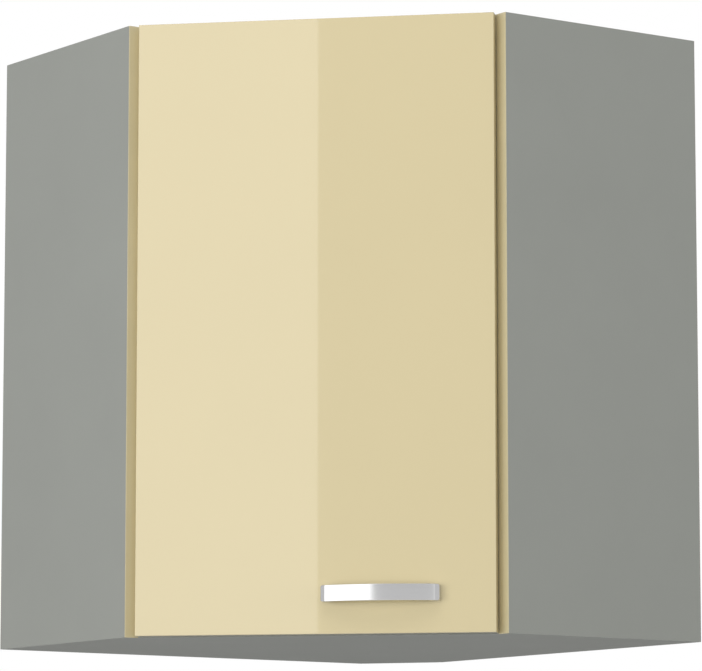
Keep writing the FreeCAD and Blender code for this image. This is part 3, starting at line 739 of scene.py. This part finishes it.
def to_object(name: str, bm: BMesh) -> Object:
    """Turn a bmesh, which is freed, into an object of the scene."""
    mesh = bpy.data.meshes.new(name)
    bm.to_mesh(mesh)
    bm.free()
    return add_object(name, mesh)


def soften_normals(piece: Object, crease: float) -> None:
    """Shade a piece smooth up to a crease angle in degrees, and keep its flat faces flat."""
    piece.data.shade_smooth()
    piece.data.set_sharp_from_angle(angle=math.radians(crease))
    weighted = piece.modifiers.new("flat_faces", "WEIGHTED_NORMAL")
    weighted.keep_sharp = True


def finished(name: str, bm: BMesh, crease: float) -> Object:
    """Turn a bmesh into an object with outward faces, smooth up to a crease angle in degrees."""
    bmesh.ops.recalc_face_normals(bm, faces=bm.faces)
    piece = to_object(name, bm)
    soften_normals(piece, crease)
    return piece


@dataclass(frozen=True)
class CrossScrew:
    """A screw with a domed head and a cross recess, drawn along +Z with its head's seat at z = 0.

    The numbers from crown on are shares of the head's radius and height, of the shank's radius for
    arm_of_shank, of the arm for arm_width, and of the shank's radius and length for the tip.
    """

    head_radius: float
    head_height: float
    shank_radius: float
    length: float
    segments: int = 28
    crown: float = 0.72
    dome: tuple[Pair, ...] = ((0.90, 0.16), (1.0, 0.34), (1.0, 0.50))
    arm_of_head: float = 0.52
    arm_of_shank: float = 1.3
    arm_width: float = 0.24
    depth_of_height: float = 0.75
    depth_of_radius: float = 0.5
    tip: Pair = (0.35, 0.12)

    def build(self) -> BMesh:
        """Model the screw.

        Returns:
            Its mesh.
        """
        bm = bmesh.new()
        head, height = self.head_radius, self.head_height
        top = ring(bm, head * self.crown, self.segments, raised(height))
        arm = min(head * self.arm_of_head, self.shank_radius * self.arm_of_shank)
        depth = min(height * self.depth_of_height, head * self.depth_of_radius)
        cross_recess(bm, top, height, arm, arm * self.arm_width, depth)
        widths = (self.crown, *(width for width, _ in self.dome))
        steps = [(width / last, -drop * height) for last, (width, drop) in zip(widths, self.dome)]
        tip_width, tip_share = self.tip
        steps += [(self.shank_radius / head, 0.0), (1.0, -(1 - tip_share) * self.length)]
        pull_down(bm, top, [*steps, (tip_width, -tip_share * self.length)])
        return bm


class SubAssembly:
    """Pieces of the cabinet that belong together."""

    crease = 32.0
    flat_angle = math.radians(0.4)
    soft_steps = 2

    def __init__(self, frame: dict[str, Any]) -> None:
        """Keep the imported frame.
        """
        self.frame = frame

    def settle(self, piece: Object, node: str, finish: Finish) -> None:
        """Give a piece its finish and its body.

        Args:
            piece: The piece.
            node: The CAD node that it stands for.
            finish: Its finish.
        """
        body = self.frame["nodes"][node]["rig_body"]
        piece.data.materials.clear()
        piece.data.materials.append(finish.material())
        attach(piece, body)
        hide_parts(node)
        LOG.info("%s rides on %s: %d faces", piece.name, body, len(piece.data.polygons))

    def dress(self, node: str, finish: Finish) -> None:
        """Give a CAD node its finish and leave its shape."""
        thing = self.frame["nodes"][node]
        if not thing.material_slots:
            thing.data.materials.append(None)
        for holder in thing.material_slots:
            holder.material = finish.material()
        LOG.info("%s keeps its CAD shape", node)

    def soft_edged(self, node: str, finish: Finish, radius: float) -> None:
        """Make a copy of a CAD node with merged faces and small rounded edges, to stand for it.

        Args:
            node: The CAD node.
            finish: Its finish.
            radius: The edges' radius.
        """
        bm = bmesh.new()
        bm.from_mesh(self.frame["nodes"][node].data)
        bmesh.ops.remove_doubles(bm, verts=bm.verts, dist=2 * NEAR)
        bmesh.ops.dissolve_limit(
            bm, angle_limit=self.flat_angle, verts=bm.verts, edges=bm.edges, delimit=set()
        )
        piece = to_object(node + "_finished", bm)
        rounding = piece.modifiers.new("rounded_edges", "BEVEL")
        rounding.width = radius
        rounding.segments = self.soft_steps
        rounding.limit_method = "ANGLE"
        rounding.angle_limit = math.radians(self.crease)
        rounding.use_clamp_overlap = True
        soften_normals(piece, self.crease)
        self.settle(piece, node, finish)

    def screws(self, node: str, name: str, screw: CrossScrew, places: Sequence[Matrix]) -> None:
        """Make a set of equal screws that stands for a CAD node.

        Args:
            node: The CAD node.
            name: The piece's name.
            screw: The screw.
            places: Where each one goes.
        """
        piece = finished(name, copies(screw.build(), places), SMALL_PART_CREASE)
        self.settle(piece, node, STEEL)


@dataclass(frozen=True)
class CarcassSizes:
    """Sizes of the carcass's small parts.

    The dish in a cam's face is a share of the cam's radius, and cam_flat and cam_slope are steps out from it.
    """

    cam_radius: float = 7.5 * MM
    cam_depth: float = 12.5 * MM
    cam_inset: float = 33.5 * MM
    cam_columns: Pair = (60 * MM, 225 * MM)
    cam_dish: float = 0.62
    cam_dish_depth: float = 0.5 * MM
    cam_flat: float = 1.1
    cam_slope: float = 1.08
    cam_cross: float = 3.0 * MM
    cam_cross_width: float = 0.75 * MM
    cam_segments: int = 36
    screw_spread: float = 25 * MM
    screw_length: float = 40 * MM
    screw_radius: float = 2 * MM
    screw_head_radius: float = 4 * MM
    screw_head: float = 2.5 * MM
    edge_radius: float = 0.3 * MM
    band_radius: float = 0.15 * MM
    pin_radius: float = 0.25 * MM
    banded_edge: float = 0.6 * MM


class Carcass(SubAssembly):
    """The boards, back sheets, bands and joint fittings."""

    sizes = CarcassSizes()

    def build_boards(self) -> None:
        """Make the boards and the shelves."""
        plan = PLAN
        reach = plan.half_width - plan.board / 2
        corner = plan.corner_middle.dot(plan.corner_inward) + plan.board / 2
        bottom, top = plan.board_middles
        lower, upper = plan.shelf_middles
        boards = {
            "left_side_panel": (Y_AXIS, -reach, True),
            "right_side_panel": (X_AXIS, reach, True),
            "corner_board": (tuple(plan.corner_inward), corner, True),
            "bottom_panel": (Z_AXIS, bottom, False),
            "top_panel": (Z_AXIS, top, False),
            "lower_shelf": (Z_AXIS, lower, False),
            "upper_shelf": (Z_AXIS, upper, False),
        }
        for node, (axis, middle, banded) in boards.items():
            below = self.sizes.banded_edge if banded else -1.0
            finish = FacedBoard(Slot.BOARD, "faced_" + node, face_axis=axis, middle=middle, bands_below=below)
            self.soft_edged(node, finish, self.sizes.edge_radius)

    def build_bands(self) -> None:
        """Make the edge bands."""
        self.soft_edged("side_edge_bands", CREAM_BAND, self.sizes.band_radius)
        for node in ("top_bottom_edge_bands", "shelf_edge_bands"):
            self.soft_edged(node, GREY_BAND, self.sizes.band_radius)

    def build_back(self) -> None:
        """Make the back sheets."""
        plane = -PLAN.half_width + PLAN.back_sheet
        for node, inward in (("left_back_sheet", X_AXIS), ("right_back_sheet", (0.0, -1.0, 0.0))):
            finish = Fibreboard(Slot.HARDBOARD, "hardboard_" + node, inward=inward, painted_plane=plane)
            self.soft_edged(node, finish, self.sizes.edge_radius)

    def build_cams(self) -> None:
        """Make the cam locks, each with a dished face and a cross recess."""
        size, plan = self.sizes, PLAN
        pattern = bmesh.new()
        rim = ring(pattern, size.cam_radius * size.cam_dish, size.cam_segments, raised(-size.cam_dish_depth))
        cross_recess(pattern, rim, -size.cam_dish_depth, size.cam_cross, size.cam_cross_width, size.cam_cross)
        dished = size.cam_dish * size.cam_flat * size.cam_slope
        steps = (
            (size.cam_flat, 0.0),
            (size.cam_slope, size.cam_dish_depth),
            (1 / dished, 0.0),
            (1.0, -size.cam_depth),
        )
        pull_down(pattern, rim, steps)
        places = []
        for top in (plan.board, plan.height):
            for column in size.cam_columns:
                place = Matrix.Translation((plan.front_edge - column, plan.inner_face + size.cam_inset, top))
                places += [place, plan.mirror @ place]
        piece = finished("cam_lock_set", copies(pattern, places), SMALL_PART_CREASE)
        self.settle(piece, "cam_locks", ZINC)

    def build_corner_screws(self) -> None:
        """Make the corner board's screws."""
        size, plan = self.sizes, PLAN
        inward = plan.corner_inward
        along = Vector((-inward.y, inward.x, 0))
        length = size.screw_length - size.screw_head
        screw = CrossScrew(size.screw_head_radius, size.screw_head, size.screw_radius, length)
        places = []
        for height in plan.board_middles:
            for side in (-1, 1):
                seat = plan.corner_middle + along * side * size.screw_spread + inward * size.screw_head
                places.append(facing(seat + Vector((0, 0, height)), -inward))
        self.screws("corner_board_screws", "corner_screw_set", screw, places)

    def build(self) -> None:
        """Make and dress the carcass."""
        self.build_boards()
        self.build_bands()
        self.build_back()
        self.build_cams()
        self.build_corner_screws()
        self.soft_edged("shelf_pins", STEEL, self.sizes.pin_radius)
        self.dress("cam_bolts", STEEL)
        self.dress("wooden_dowels", BEECH)
        self.dress("back_sheet_nails", STEEL)


@dataclass(frozen=True)
class DoorSizes:
    """Sizes of the door's panel and of what is fixed to it. A bumper's wall is a share of its height."""

    thickness: float = 18 * MM
    back_gap: float = 1.0 * MM
    end_gap: float = 1.0 * MM
    front_radius: float = 1.0 * MM
    front_steps: int = 6
    back_radius: float = 0.2 * MM
    back_steps: int = 3
    cup_bore_radius: float = 17.5 * MM
    cup_bore_depth: float = 13.1 * MM
    cup_bore_segments: int = 72
    cup_edge: float = 3.0 * MM
    hinge_inset: float = 100 * MM
    bumper_radius: float = 4 * MM
    bumper_height: float = 0.7 * MM
    bumper_inset: float = 20 * MM
    bumper_wall: float = 0.35
    bumper_steps: int = 6
    bumper_segments: int = 28

    @property
    def width(self) -> float:
        """The door's width. It starts at x = 0 on its drawing."""
        return PLAN.opening

    @property
    def back(self) -> float:
        """The door's back face on its drawing."""
        return -self.back_gap

    @property
    def front(self) -> float:
        """The door's front face on its drawing."""
        return self.back - self.thickness

    @property
    def hinge_heights(self) -> Pair:
        """The heights of the lower and of the upper hinge."""
        return self.hinge_inset, PLAN.height - self.hinge_inset


DOOR = DoorSizes()


class Door(SubAssembly):
    """The lacquered door and its bumpers."""

    def build_leaf(self) -> None:
        """Make the door's panel, with rounded edges and the bores for both hinge cups."""
        size, plan = DOOR, PLAN
        bm = bmesh.new()
        middle = Matrix.Translation((size.width / 2, (size.front + size.back) / 2, plan.height / 2))
        stretch = Matrix.Diagonal((size.width, size.thickness, plan.height - 2 * size.end_gap, 1.0))
        bmesh.ops.create_cube(bm, size=1.0, matrix=middle @ stretch)
        roundings = (
            (size.front, size.front_radius, size.front_steps),
            (size.back, size.back_radius, size.back_steps),
        )
        for face_y, radius, steps in roundings:
            loop = [edge for edge in bm.edges if all(abs(vert.co.y - face_y) < NEAR for vert in edge.verts)]
            round_off(bm, loop, radius, steps)
        back = [face for face in bm.faces if all(abs(vert.co.y - size.back) < NEAR for vert in face.verts)]
        edges = list(dict.fromkeys(edge for face in back for edge in face.edges))
        bmesh.ops.delete(bm, geom=back, context="FACES_ONLY")
        bores = []
        for height in size.hinge_heights:
            centre = (size.cup_edge + size.cup_bore_radius, size.back, height)
            place = Matrix.Translation(centre) @ Matrix.Rotation(math.pi / 2, 4, "X")
            bores.append(ring(bm, size.cup_bore_radius, size.cup_bore_segments, place))
            edges += bores[-1]
        bmesh.ops.triangle_fill(bm, edges=edges, use_beauty=True)
        for bore in bores:
            bmesh.ops.contextual_create(bm, geom=pull(bm, bore, 1.0, (0, -size.cup_bore_depth, 0)))
        bmesh.ops.transform(bm, matrix=plan.door, verts=bm.verts)
        inward = plan.door.to_3x3() @ Vector(Y_AXIS)
        back_plane = (plan.door @ Vector((0, size.back, 0))).dot(inward)
        finish = Lacquer(Slot.DOOR, "cream_lacquer", inward=tuple(inward), back_plane=back_plane)
        self.settle(finished("door_leaf", bm, DOOR_CREASE), "door_panel", finish)

    def build_bumpers(self) -> None:
        """Make the two soft bumpers on the door's back."""
        size, plan = DOOR, PLAN
        profile = [(0.0, 0.0), (size.bumper_radius, 0.0)]
        for step in range(size.bumper_steps + 1):
            angle = step * math.pi / 2 / size.bumper_steps
            share = size.bumper_wall + (1 - size.bumper_wall) * math.sin(angle)
            profile.append((size.bumper_radius * math.cos(angle), size.bumper_height * share))
        pattern = bmesh.new()
        turned(pattern, profile, size.bumper_segments)
        spots = [Vector((size.width - size.bumper_inset, size.back, height)) for height in plan.board_middles]
        whole = copies(pattern, [plan.door @ facing(spot, Y_AXIS) for spot in spots])
        self.settle(finished("bumper_pair", whole, ROUND_PART_CREASE), "door_bumpers", BUMPER)

    def build(self) -> None:
        """Make and dress the door."""
        self.build_leaf()
        self.build_bumpers()


@dataclass(frozen=True)
class HandleSizes:
    """Sizes of the bow handle and its screws."""

    height: float = 19 * MM
    face_span: float = 127 * MM
    shoulder: float = 5.5 * MM
    shoulder_drop: float = 3.9 * MM
    foot_width: float = 10 * MM
    end_reach: float = 14 * MM
    middle_reach: float = 24 * MM
    wall: float = 4.5 * MM
    edge_radius: float = 0.8 * MM
    edge_steps: int = 4
    bend_run: float = 0.9 * MM
    end_radius: float = 2.2 * MM
    bend_steps: int = 6
    from_door_side: float = 132.5 * MM
    above_door: float = 45.6 * MM
    screw_radius: float = 2.0 * MM
    screw_grip: float = 8.0 * MM
    screw_head_radius: float = 4.0 * MM
    screw_head: float = 2.2 * MM
    bow_steps: int = 40

    @property
    def foot(self) -> float:
        """Half the handle's whole length."""
        return self.face_span / 2 + self.shoulder


class Handle(SubAssembly):
    """The bow handle on the door."""

    sizes = HandleSizes()
    shoulder_turn = math.radians(30)
    rim_turn = math.radians(60)

    @property
    def place(self) -> Matrix:
        """Places a piece drawn about the handle's middle, with the door's front face at y = 0."""
        along = DOOR.width - self.sizes.from_door_side
        return PLAN.door @ Matrix.Translation((along, DOOR.front, DOOR.end_gap + self.sizes.above_door))

    def bow(self, bm: BMesh, half: float, reach: float) -> tuple[BMVert, BMVert]:
        """Draw one face of the bow as an arc that bulges away from the door.

        Args:
            bm: The mesh to add to.
            half: Half the arc's span.
            reach: The arc's reach from the door at its ends.

        Returns:
            The arc's first and last point.
        """
        size = self.sizes
        rise = size.middle_reach - size.end_reach
        radius = (half**2 + rise**2) / (2 * rise)
        first = bm.verts.new((-half, -reach, -size.height / 2))
        made = bmesh.ops.spin(
            bm, geom=[first], cent=(0, radius - rise - reach, -size.height / 2), axis=Z_AXIS, dvec=(0, 0, 0),
            angle=2 * math.asin(half / radius), steps=size.bow_steps, use_duplicate=False,
        )
        return first, made["geom_last"][0]

    def build_bar(self) -> None:
        """Make the bow with its feet, with soft bends, rounded end corners and rounded long edges."""
        size = self.sizes
        bm = bmesh.new()
        inner = size.foot - size.foot_width
        outer_ends = self.bow(bm, size.face_span / 2, size.end_reach)
        inner_ends = self.bow(bm, inner, size.end_reach - size.wall)
        places = ((size.foot, size.end_reach - size.shoulder_drop), (size.foot, 0.0), (inner, 0.0))
        for side, outer_end, inner_end in zip((-1, 1), outer_ends, inner_ends):
            foot = [bm.verts.new((side * along, -reach, -size.height / 2)) for along, reach in places]
            chain = [outer_end, *foot, inner_end]
            for pair in zip(chain, chain[1:]):
                bm.edges.new(pair)
        bmesh.ops.contextual_create(bm, geom=bm.edges[:])
        grown = bmesh.ops.extrude_face_region(bm, geom=bm.faces[:])["geom"]
        bmesh.ops.translate(bm, vec=(0, 0, size.height), verts=verts_of(grown))
        bmesh.ops.recalc_face_normals(bm, faces=bm.faces)
        roundings = (
            (self.is_end, size.end_radius, size.bend_steps),
            (self.is_bend, size.bend_run, size.bend_steps),
            (self.is_rim, size.edge_radius, size.edge_steps),
        )
        for chosen, radius, steps in roundings:
            round_off(bm, [edge for edge in bm.edges if chosen(edge)], radius, steps)
        bmesh.ops.transform(bm, matrix=self.place, verts=bm.verts)
        self.settle(finished("bow_handle", bm, ROUND_PART_CREASE), "handle_bar", CHROME)

    def is_end(self, edge: BMEdge) -> bool:
        """Whether an edge runs to the door along the top or the bottom of one of the bow's end faces."""
        first, last = (vert.co for vert in edge.verts)
        return min(abs(first.x), abs(last.x)) > self.sizes.foot - NEAR and abs(first.z - last.z) < NEAR

    def is_bend(self, edge: BMEdge) -> bool:
        """Whether an edge is one of the upright corners where the bow's face meets its shoulders."""
        first, last = (vert.co for vert in edge.verts)
        upright = abs(first.z - last.z) > self.sizes.height / 2
        return upright and abs(abs(first.x) - self.sizes.face_span / 2) < NEAR and first.y < -self.sizes.wall

    def on_shoulder(self, point: Vector) -> bool:
        """Whether a point lies in the plane of one of the bow's slanted shoulders."""
        size = self.sizes
        past = abs(point.x) - size.face_span / 2
        slant = past * size.shoulder_drop / size.shoulder - size.end_reach
        return past > NEAR and abs(point.y - slant) < NEAR

    def is_rim(self, edge: BMEdge) -> bool:
        """Whether an edge runs round a shoulder or round the bow's upper or lower face, clear of the door."""
        first, last = (vert.co for vert in edge.verts)
        turn = edge.calc_face_angle(0.0)
        if self.on_shoulder(first) and self.on_shoulder(last):
            return turn > self.shoulder_turn
        level = abs(first.z - last.z) < NEAR and abs(first.z) > self.sizes.height / 2 - NEAR
        return level and min(first.y, last.y) < -NEAR and turn > self.rim_turn

    def build_screws(self) -> None:
        """Make the two screws behind the handle."""
        size = self.sizes
        length = DOOR.thickness + size.screw_grip
        screw = CrossScrew(size.screw_head_radius, size.screw_head, size.screw_radius, length)
        reach = size.foot - size.foot_width / 2
        seats = [Vector((side * reach, DOOR.thickness, 0)) for side in (-1, 1)]
        places = [self.place @ facing(seat, Y_AXIS) for seat in seats]
        self.screws("handle_screws", "handle_screw_pair", screw, places)

    def build(self) -> None:
        """Make and dress the handle."""
        self.build_bar()
        self.build_screws()


@dataclass(frozen=True)
class HingeSizes:
    """Sizes of a hinge's screws and where they sit."""

    cup_centre: float = 20.5 * MM
    cup_flange: float = 0.9 * MM
    cup_screw_offset: float = 9.5 * MM
    cup_screw_spacing: float = 48 * MM
    plate: float = 1.5 * MM
    plate_screw_behind: float = 37 * MM
    plate_screw_spacing: float = 32 * MM
    arm_base: float = 1.5 * MM
    arm_screw_behind: float = 60 * MM
    edge_radius: float = 0.25 * MM
    pin_radius: float = 0.2 * MM


class Hinges(SubAssembly):
    """The two concealed hinges."""

    sizes = HingeSizes()
    cup_screw = CrossScrew(3.5 * MM, 1.2 * MM, 1.8 * MM, 12 * MM)
    plate_screw = CrossScrew(4.4 * MM, 1.5 * MM, 2.5 * MM, 12 * MM)
    arm_screw = CrossScrew(2.5 * MM, 1.5 * MM, 1.5 * MM, 12 * MM)

    def on_panel(self, behind: float, thickness: float, height: float) -> Matrix:
        """Places a screw on the left side panel's inner face.

        Args:
            behind: How far it is behind the panel's front edge.
            thickness: How much metal lies under its head.
            height: Its height.

        Returns:
            The place.
        """
        spot = Vector((PLAN.front_edge - behind, PLAN.inner_face + thickness, height))
        return facing(spot, Y_AXIS)

    def build_screws(self) -> None:
        """Make the screws of both hinges."""
        size = self.sizes
        cup_x = size.cup_centre + size.cup_screw_offset
        cup_y = DOOR.back + size.cup_flange
        cup, plate, arm = [], [], []
        for height in DOOR.hinge_heights:
            for side in (-1, 1):
                spot = Vector((cup_x, cup_y, height + side * size.cup_screw_spacing / 2))
                cup.append(PLAN.door @ facing(spot, Y_AXIS))
                rise = height + side * size.plate_screw_spacing / 2
                plate.append(self.on_panel(size.plate_screw_behind, size.plate, rise))
            arm.append(self.on_panel(size.arm_screw_behind, size.plate + size.arm_base, height))
        self.screws("hinge_cup_screws", "cup_screw_set", self.cup_screw, cup)
        self.screws("hinge_plate_screws", "plate_screw_set", self.plate_screw, plate)
        self.screws("hinge_arm_screws", "arm_screw_pair", self.arm_screw, arm)

    def build(self) -> None:
        """Make and dress both hinges."""
        for level in Level:
            for part in ("plate", "arm", "link", "cup"):
                self.soft_edged(f"{level.value}_hinge_{part}", NICKEL, self.sizes.edge_radius)
        self.build_screws()
        for node in ("hinge_arm_pins", "hinge_cup_pins"):
            self.soft_edged(node, STEEL, self.sizes.pin_radius)


@dataclass(frozen=True)
class HangerSizes:
    """Sizes of a hanger's screws and where they sit."""

    length: float = 50 * MM
    width: float = 14 * MM
    wall: float = 2 * MM
    height: float = 56 * MM
    below_top: float = 4 * MM
    adjuster_spread: float = 10 * MM
    tab: float = 12 * MM
    tab_screw_inset: float = 11 * MM
    housing_radius: float = 0.6 * MM
    carriage_radius: float = 0.3 * MM
    hook_radius: float = 0.4 * MM


class Hangers(SubAssembly):
    """The two adjustable hangers in the rear top corners."""

    sizes = HangerSizes()
    adjuster = CrossScrew(4 * MM, 2 * MM, 2.5 * MM, 12.4 * MM)
    tab_screw = CrossScrew(4 * MM, 1.5 * MM, 2 * MM, 14 * MM)

    def build_screws(self) -> None:
        """Make the adjusting and the fixing screws of both hangers."""
        size, plan = self.sizes, PLAN
        front = -plan.half_width + plan.back_sheet + size.length
        middle = plan.height - plan.board - size.below_top - size.height / 2
        adjusters, fixings = [], []
        for side in (-1, 1):
            rise = middle + side * size.adjuster_spread
            spot = Vector((front, plan.inner_face + size.width / 2, rise))
            adjusters.append(facing(spot, X_AXIS))
            rise = middle + side * (size.height / 2 - size.tab_screw_inset)
            spot = Vector((front + size.tab / 2, plan.inner_face + size.wall, rise))
            fixings.append(facing(spot, Y_AXIS))
        adjusters += [plan.mirror @ place for place in adjusters]
        fixings += [plan.mirror @ place for place in fixings]
        self.screws("hanger_adjusting_screws", "adjusting_screw_set", self.adjuster, adjusters)
        self.screws("hanger_fixing_screws", "fixing_screw_set", self.tab_screw, fixings)

    def build(self) -> None:
        """Make and dress both hangers."""
        size = self.sizes
        for side in Side:
            hanger = f"{side.value}_hanger_"
            self.soft_edged(hanger + "housing", WHITE_PLASTIC, size.housing_radius)
            self.soft_edged(hanger + "carriage", ZINC, size.carriage_radius)
            self.soft_edged(hanger + "hook", ZINC, size.hook_radius)
        self.build_screws()


@dataclass(frozen=True)
class Screen:
    """An upright studio screen that only reflections see, straight or curved round the cabinet."""

    name: str
    start: Pair
    radiance: float
    end: Optional[Pair] = None
    turn: float = 0.0
    low: float = -1.45
    high: float = 3.2
    steps: int = 24

    def build(self) -> None:
        """Make the screen, with its plain glow."""
        bm = bmesh.new()
        foot = bm.verts.new((*self.start, self.low))
        head = bm.verts.new((*self.start, self.high))
        edge = bm.edges.new((foot, head))
        if self.end:
            pull(bm, [edge], 1.0, (self.end[0] - self.start[0], self.end[1] - self.start[1], 0))
        else:
            bmesh.ops.spin(
                bm, geom=[foot, head, edge], cent=(0, 0, 0), axis=Z_AXIS, dvec=(0, 0, 0),
                angle=math.radians(self.turn), steps=self.steps, use_duplicate=False,
            )
        piece = to_object(self.name, bm)
        made, graph = blank_material(self.name)
        values = {"Color": WHITE, "Strength": self.radiance}
        graph.end("OutputMaterial", graph.fill(graph.add("Emission"), values))
        piece.data.materials.append(made)
        piece.visible_camera = False
        piece.visible_diffuse = False
        piece.visible_transmission = False
        piece.visible_shadow = False


def heading(azimuth: float, elevation: float) -> Vector:
    """The direction at an azimuth and an elevation in radians."""
    level = math.cos(elevation)
    return Vector((math.cos(azimuth) * level, math.sin(azimuth) * level, math.sin(elevation)))


@dataclass(frozen=True)
class Lamp:
    """A soft oval lamp, by its direction from the cabinet in degrees, which reflections don't see."""

    name: str
    azimuth: float
    elevation: float
    distance: float
    width: float
    height: float
    power: float

    def build(self, target: Vector) -> None:
        """Make the lamp.

        Args:
            target: The point that it faces.
        """
        light = bpy.data.lights.new(self.name, "AREA")
        light.shape = "ELLIPSE"
        light.size = self.width
        light.size_y = self.height
        light.energy = self.power
        lamp = add_object(self.name, light)
        away = heading(math.radians(self.azimuth), math.radians(self.elevation))
        lamp.location = target + away * self.distance
        lamp.rotation_euler = away.to_track_quat("Z", "Y").to_euler()
        lamp.visible_camera = False
        lamp.visible_glossy = False


class Studio:
    """The floor, the screens, the lamps, the world and the camera."""

    floor_height = -1.45
    floor_radius = 7.0
    floor_segments = 96
    floor_colour = (0.24, 0.245, 0.23)
    floor_rough = 0.9
    floor_glow = 0.69
    floor_fade = (2.6, 6.4)
    ambient = 0.42
    screens = (
        Screen("white_card", (0.860, -1.172), 1.95, end=(-0.457, -2.080)),
        Screen("grey_curtain", (2.70, -0.86), 0.79, turn=-45.0),
        Screen("right_curtain", (2.78, 0.42), 0.79, turn=45.0),
        Screen("left_curtain", (-0.62, -2.50), 0.78, turn=-48.0),
        Screen("rear_curtain", (0.80, 2.60), 0.5, turn=100.0),
    )
    lamps = (
        Lamp("left_key", -76.0, -3.0, 4.4, 3.6, 3.0, 75.0),
        Lamp("middle_key", -43.0, -3.0, 4.4, 3.0, 3.0, 42.0),
        Lamp("right_key", -10.0, -3.0, 4.4, 2.8, 3.0, 15.5),
        Lamp("fill", 30.0, 2.0, 4.2, 2.4, 1.6, 20.0),
        Lamp("rear", 140.0, 25.0, 4.2, 2.4, 2.4, 60.0),
        Lamp("top", -45.0, 52.0, 3.6, 2.6, 2.2, 28.0),
    )
    lamp_target = Vector((0.1, -0.1, PLAN.height / 2))
    camera_place = Vector((4.0016, -2.8055, -0.2957))
    camera_yaw = 2.5288
    camera_pitch = 0.1361
    lens = 209.9
    sensor = 36.0
    clip = (0.1, 60.0)

    def seen(self, graph: Graph) -> NodeSocket:
        """One for the rays of the camera, of reflections and through clear parts, otherwise zero."""
        paths = graph.add("LightPath").outputs
        near = graph.math("MAXIMUM", paths["Is Camera Ray"], paths["Is Glossy Ray"])
        return graph.math("MAXIMUM", near, paths["Is Transmission Ray"])

    def build_floor(self) -> None:
        """Make the pale floor, which fades into the background and is clear from below."""
        bm = bmesh.new()
        place = raised(self.floor_height)
        bmesh.ops.create_circle(
            bm, cap_ends=True, radius=self.floor_radius, segments=self.floor_segments, matrix=place
        )
        floor = to_object("floor", bm)
        made, graph = blank_material("pale_floor")
        values = {
            "Base Color": self.floor_colour,
            "Roughness": self.floor_rough,
            "Emission Color": WHITE,
            "Emission Strength": graph.times(self.seen(graph), self.floor_glow),
        }
        shader = graph.fill(graph.add("BsdfPrincipled"), values)
        spot = graph.fill(graph.add("SeparateXYZ"), {0: graph.place()}).outputs
        square = graph.math("ADD", graph.math("POWER", spot[0], 2.0), graph.math("POWER", spot[1], 2.0))
        fade = graph.span(graph.math("SQRT", square), *self.floor_fade)
        clear = graph.math("MAXIMUM", fade, graph.add("NewGeometry").outputs["Backfacing"])
        graph.end("OutputMaterial", graph.mix(clear, shader, graph.add("BsdfTransparent")))
        floor.data.materials.append(made)

    def build_world(self) -> None:
        """Make the even light, with a white background for what the camera and reflections see."""
        world = bpy.data.worlds.new("studio")
        bpy.context.scene.world = world
        world.use_nodes = True
        graph = Graph(world.node_tree)
        light, white = (
            graph.fill(graph.add("Background"), {"Color": WHITE, "Strength": strength})
            for strength in (self.ambient, 1.0)
        )
        graph.end("OutputWorld", graph.mix(self.seen(graph), light, white))

    def build_camera(self) -> None:
        """Make the camera at the photograph's viewing angle."""
        data = bpy.data.cameras.new("camera")
        data.sensor_width = self.sensor
        data.lens = self.lens
        data.clip_start, data.clip_end = self.clip
        camera = add_object("camera", data)
        camera.location = self.camera_place
        ahead = heading(self.camera_yaw, self.camera_pitch)
        camera.rotation_euler = ahead.to_track_quat("-Z", "Y").to_euler()
        bpy.context.scene.camera = camera

    def build(self) -> None:
        """Make the whole studio."""
        self.build_floor()
        for screen in self.screens:
            screen.build()
        for lamp in self.lamps:
            lamp.build(self.lamp_target)
        self.build_world()
        self.build_camera()
        bpy.context.scene.view_settings.view_transform = "Standard"


def main() -> None:
    """Load the frame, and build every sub-assembly and the studio."""
    logging.basicConfig(level=logging.INFO, format="%(name)s: %(message)s")
    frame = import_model()
    for kind in (Carcass, Door, Handle, Hinges, Hangers):
        kind(frame).build()
        LOG.info("%s is done", kind.__name__)
    Studio().build()
    bpy.context.view_layer.update()


if __name__ == "__main__":
    main()
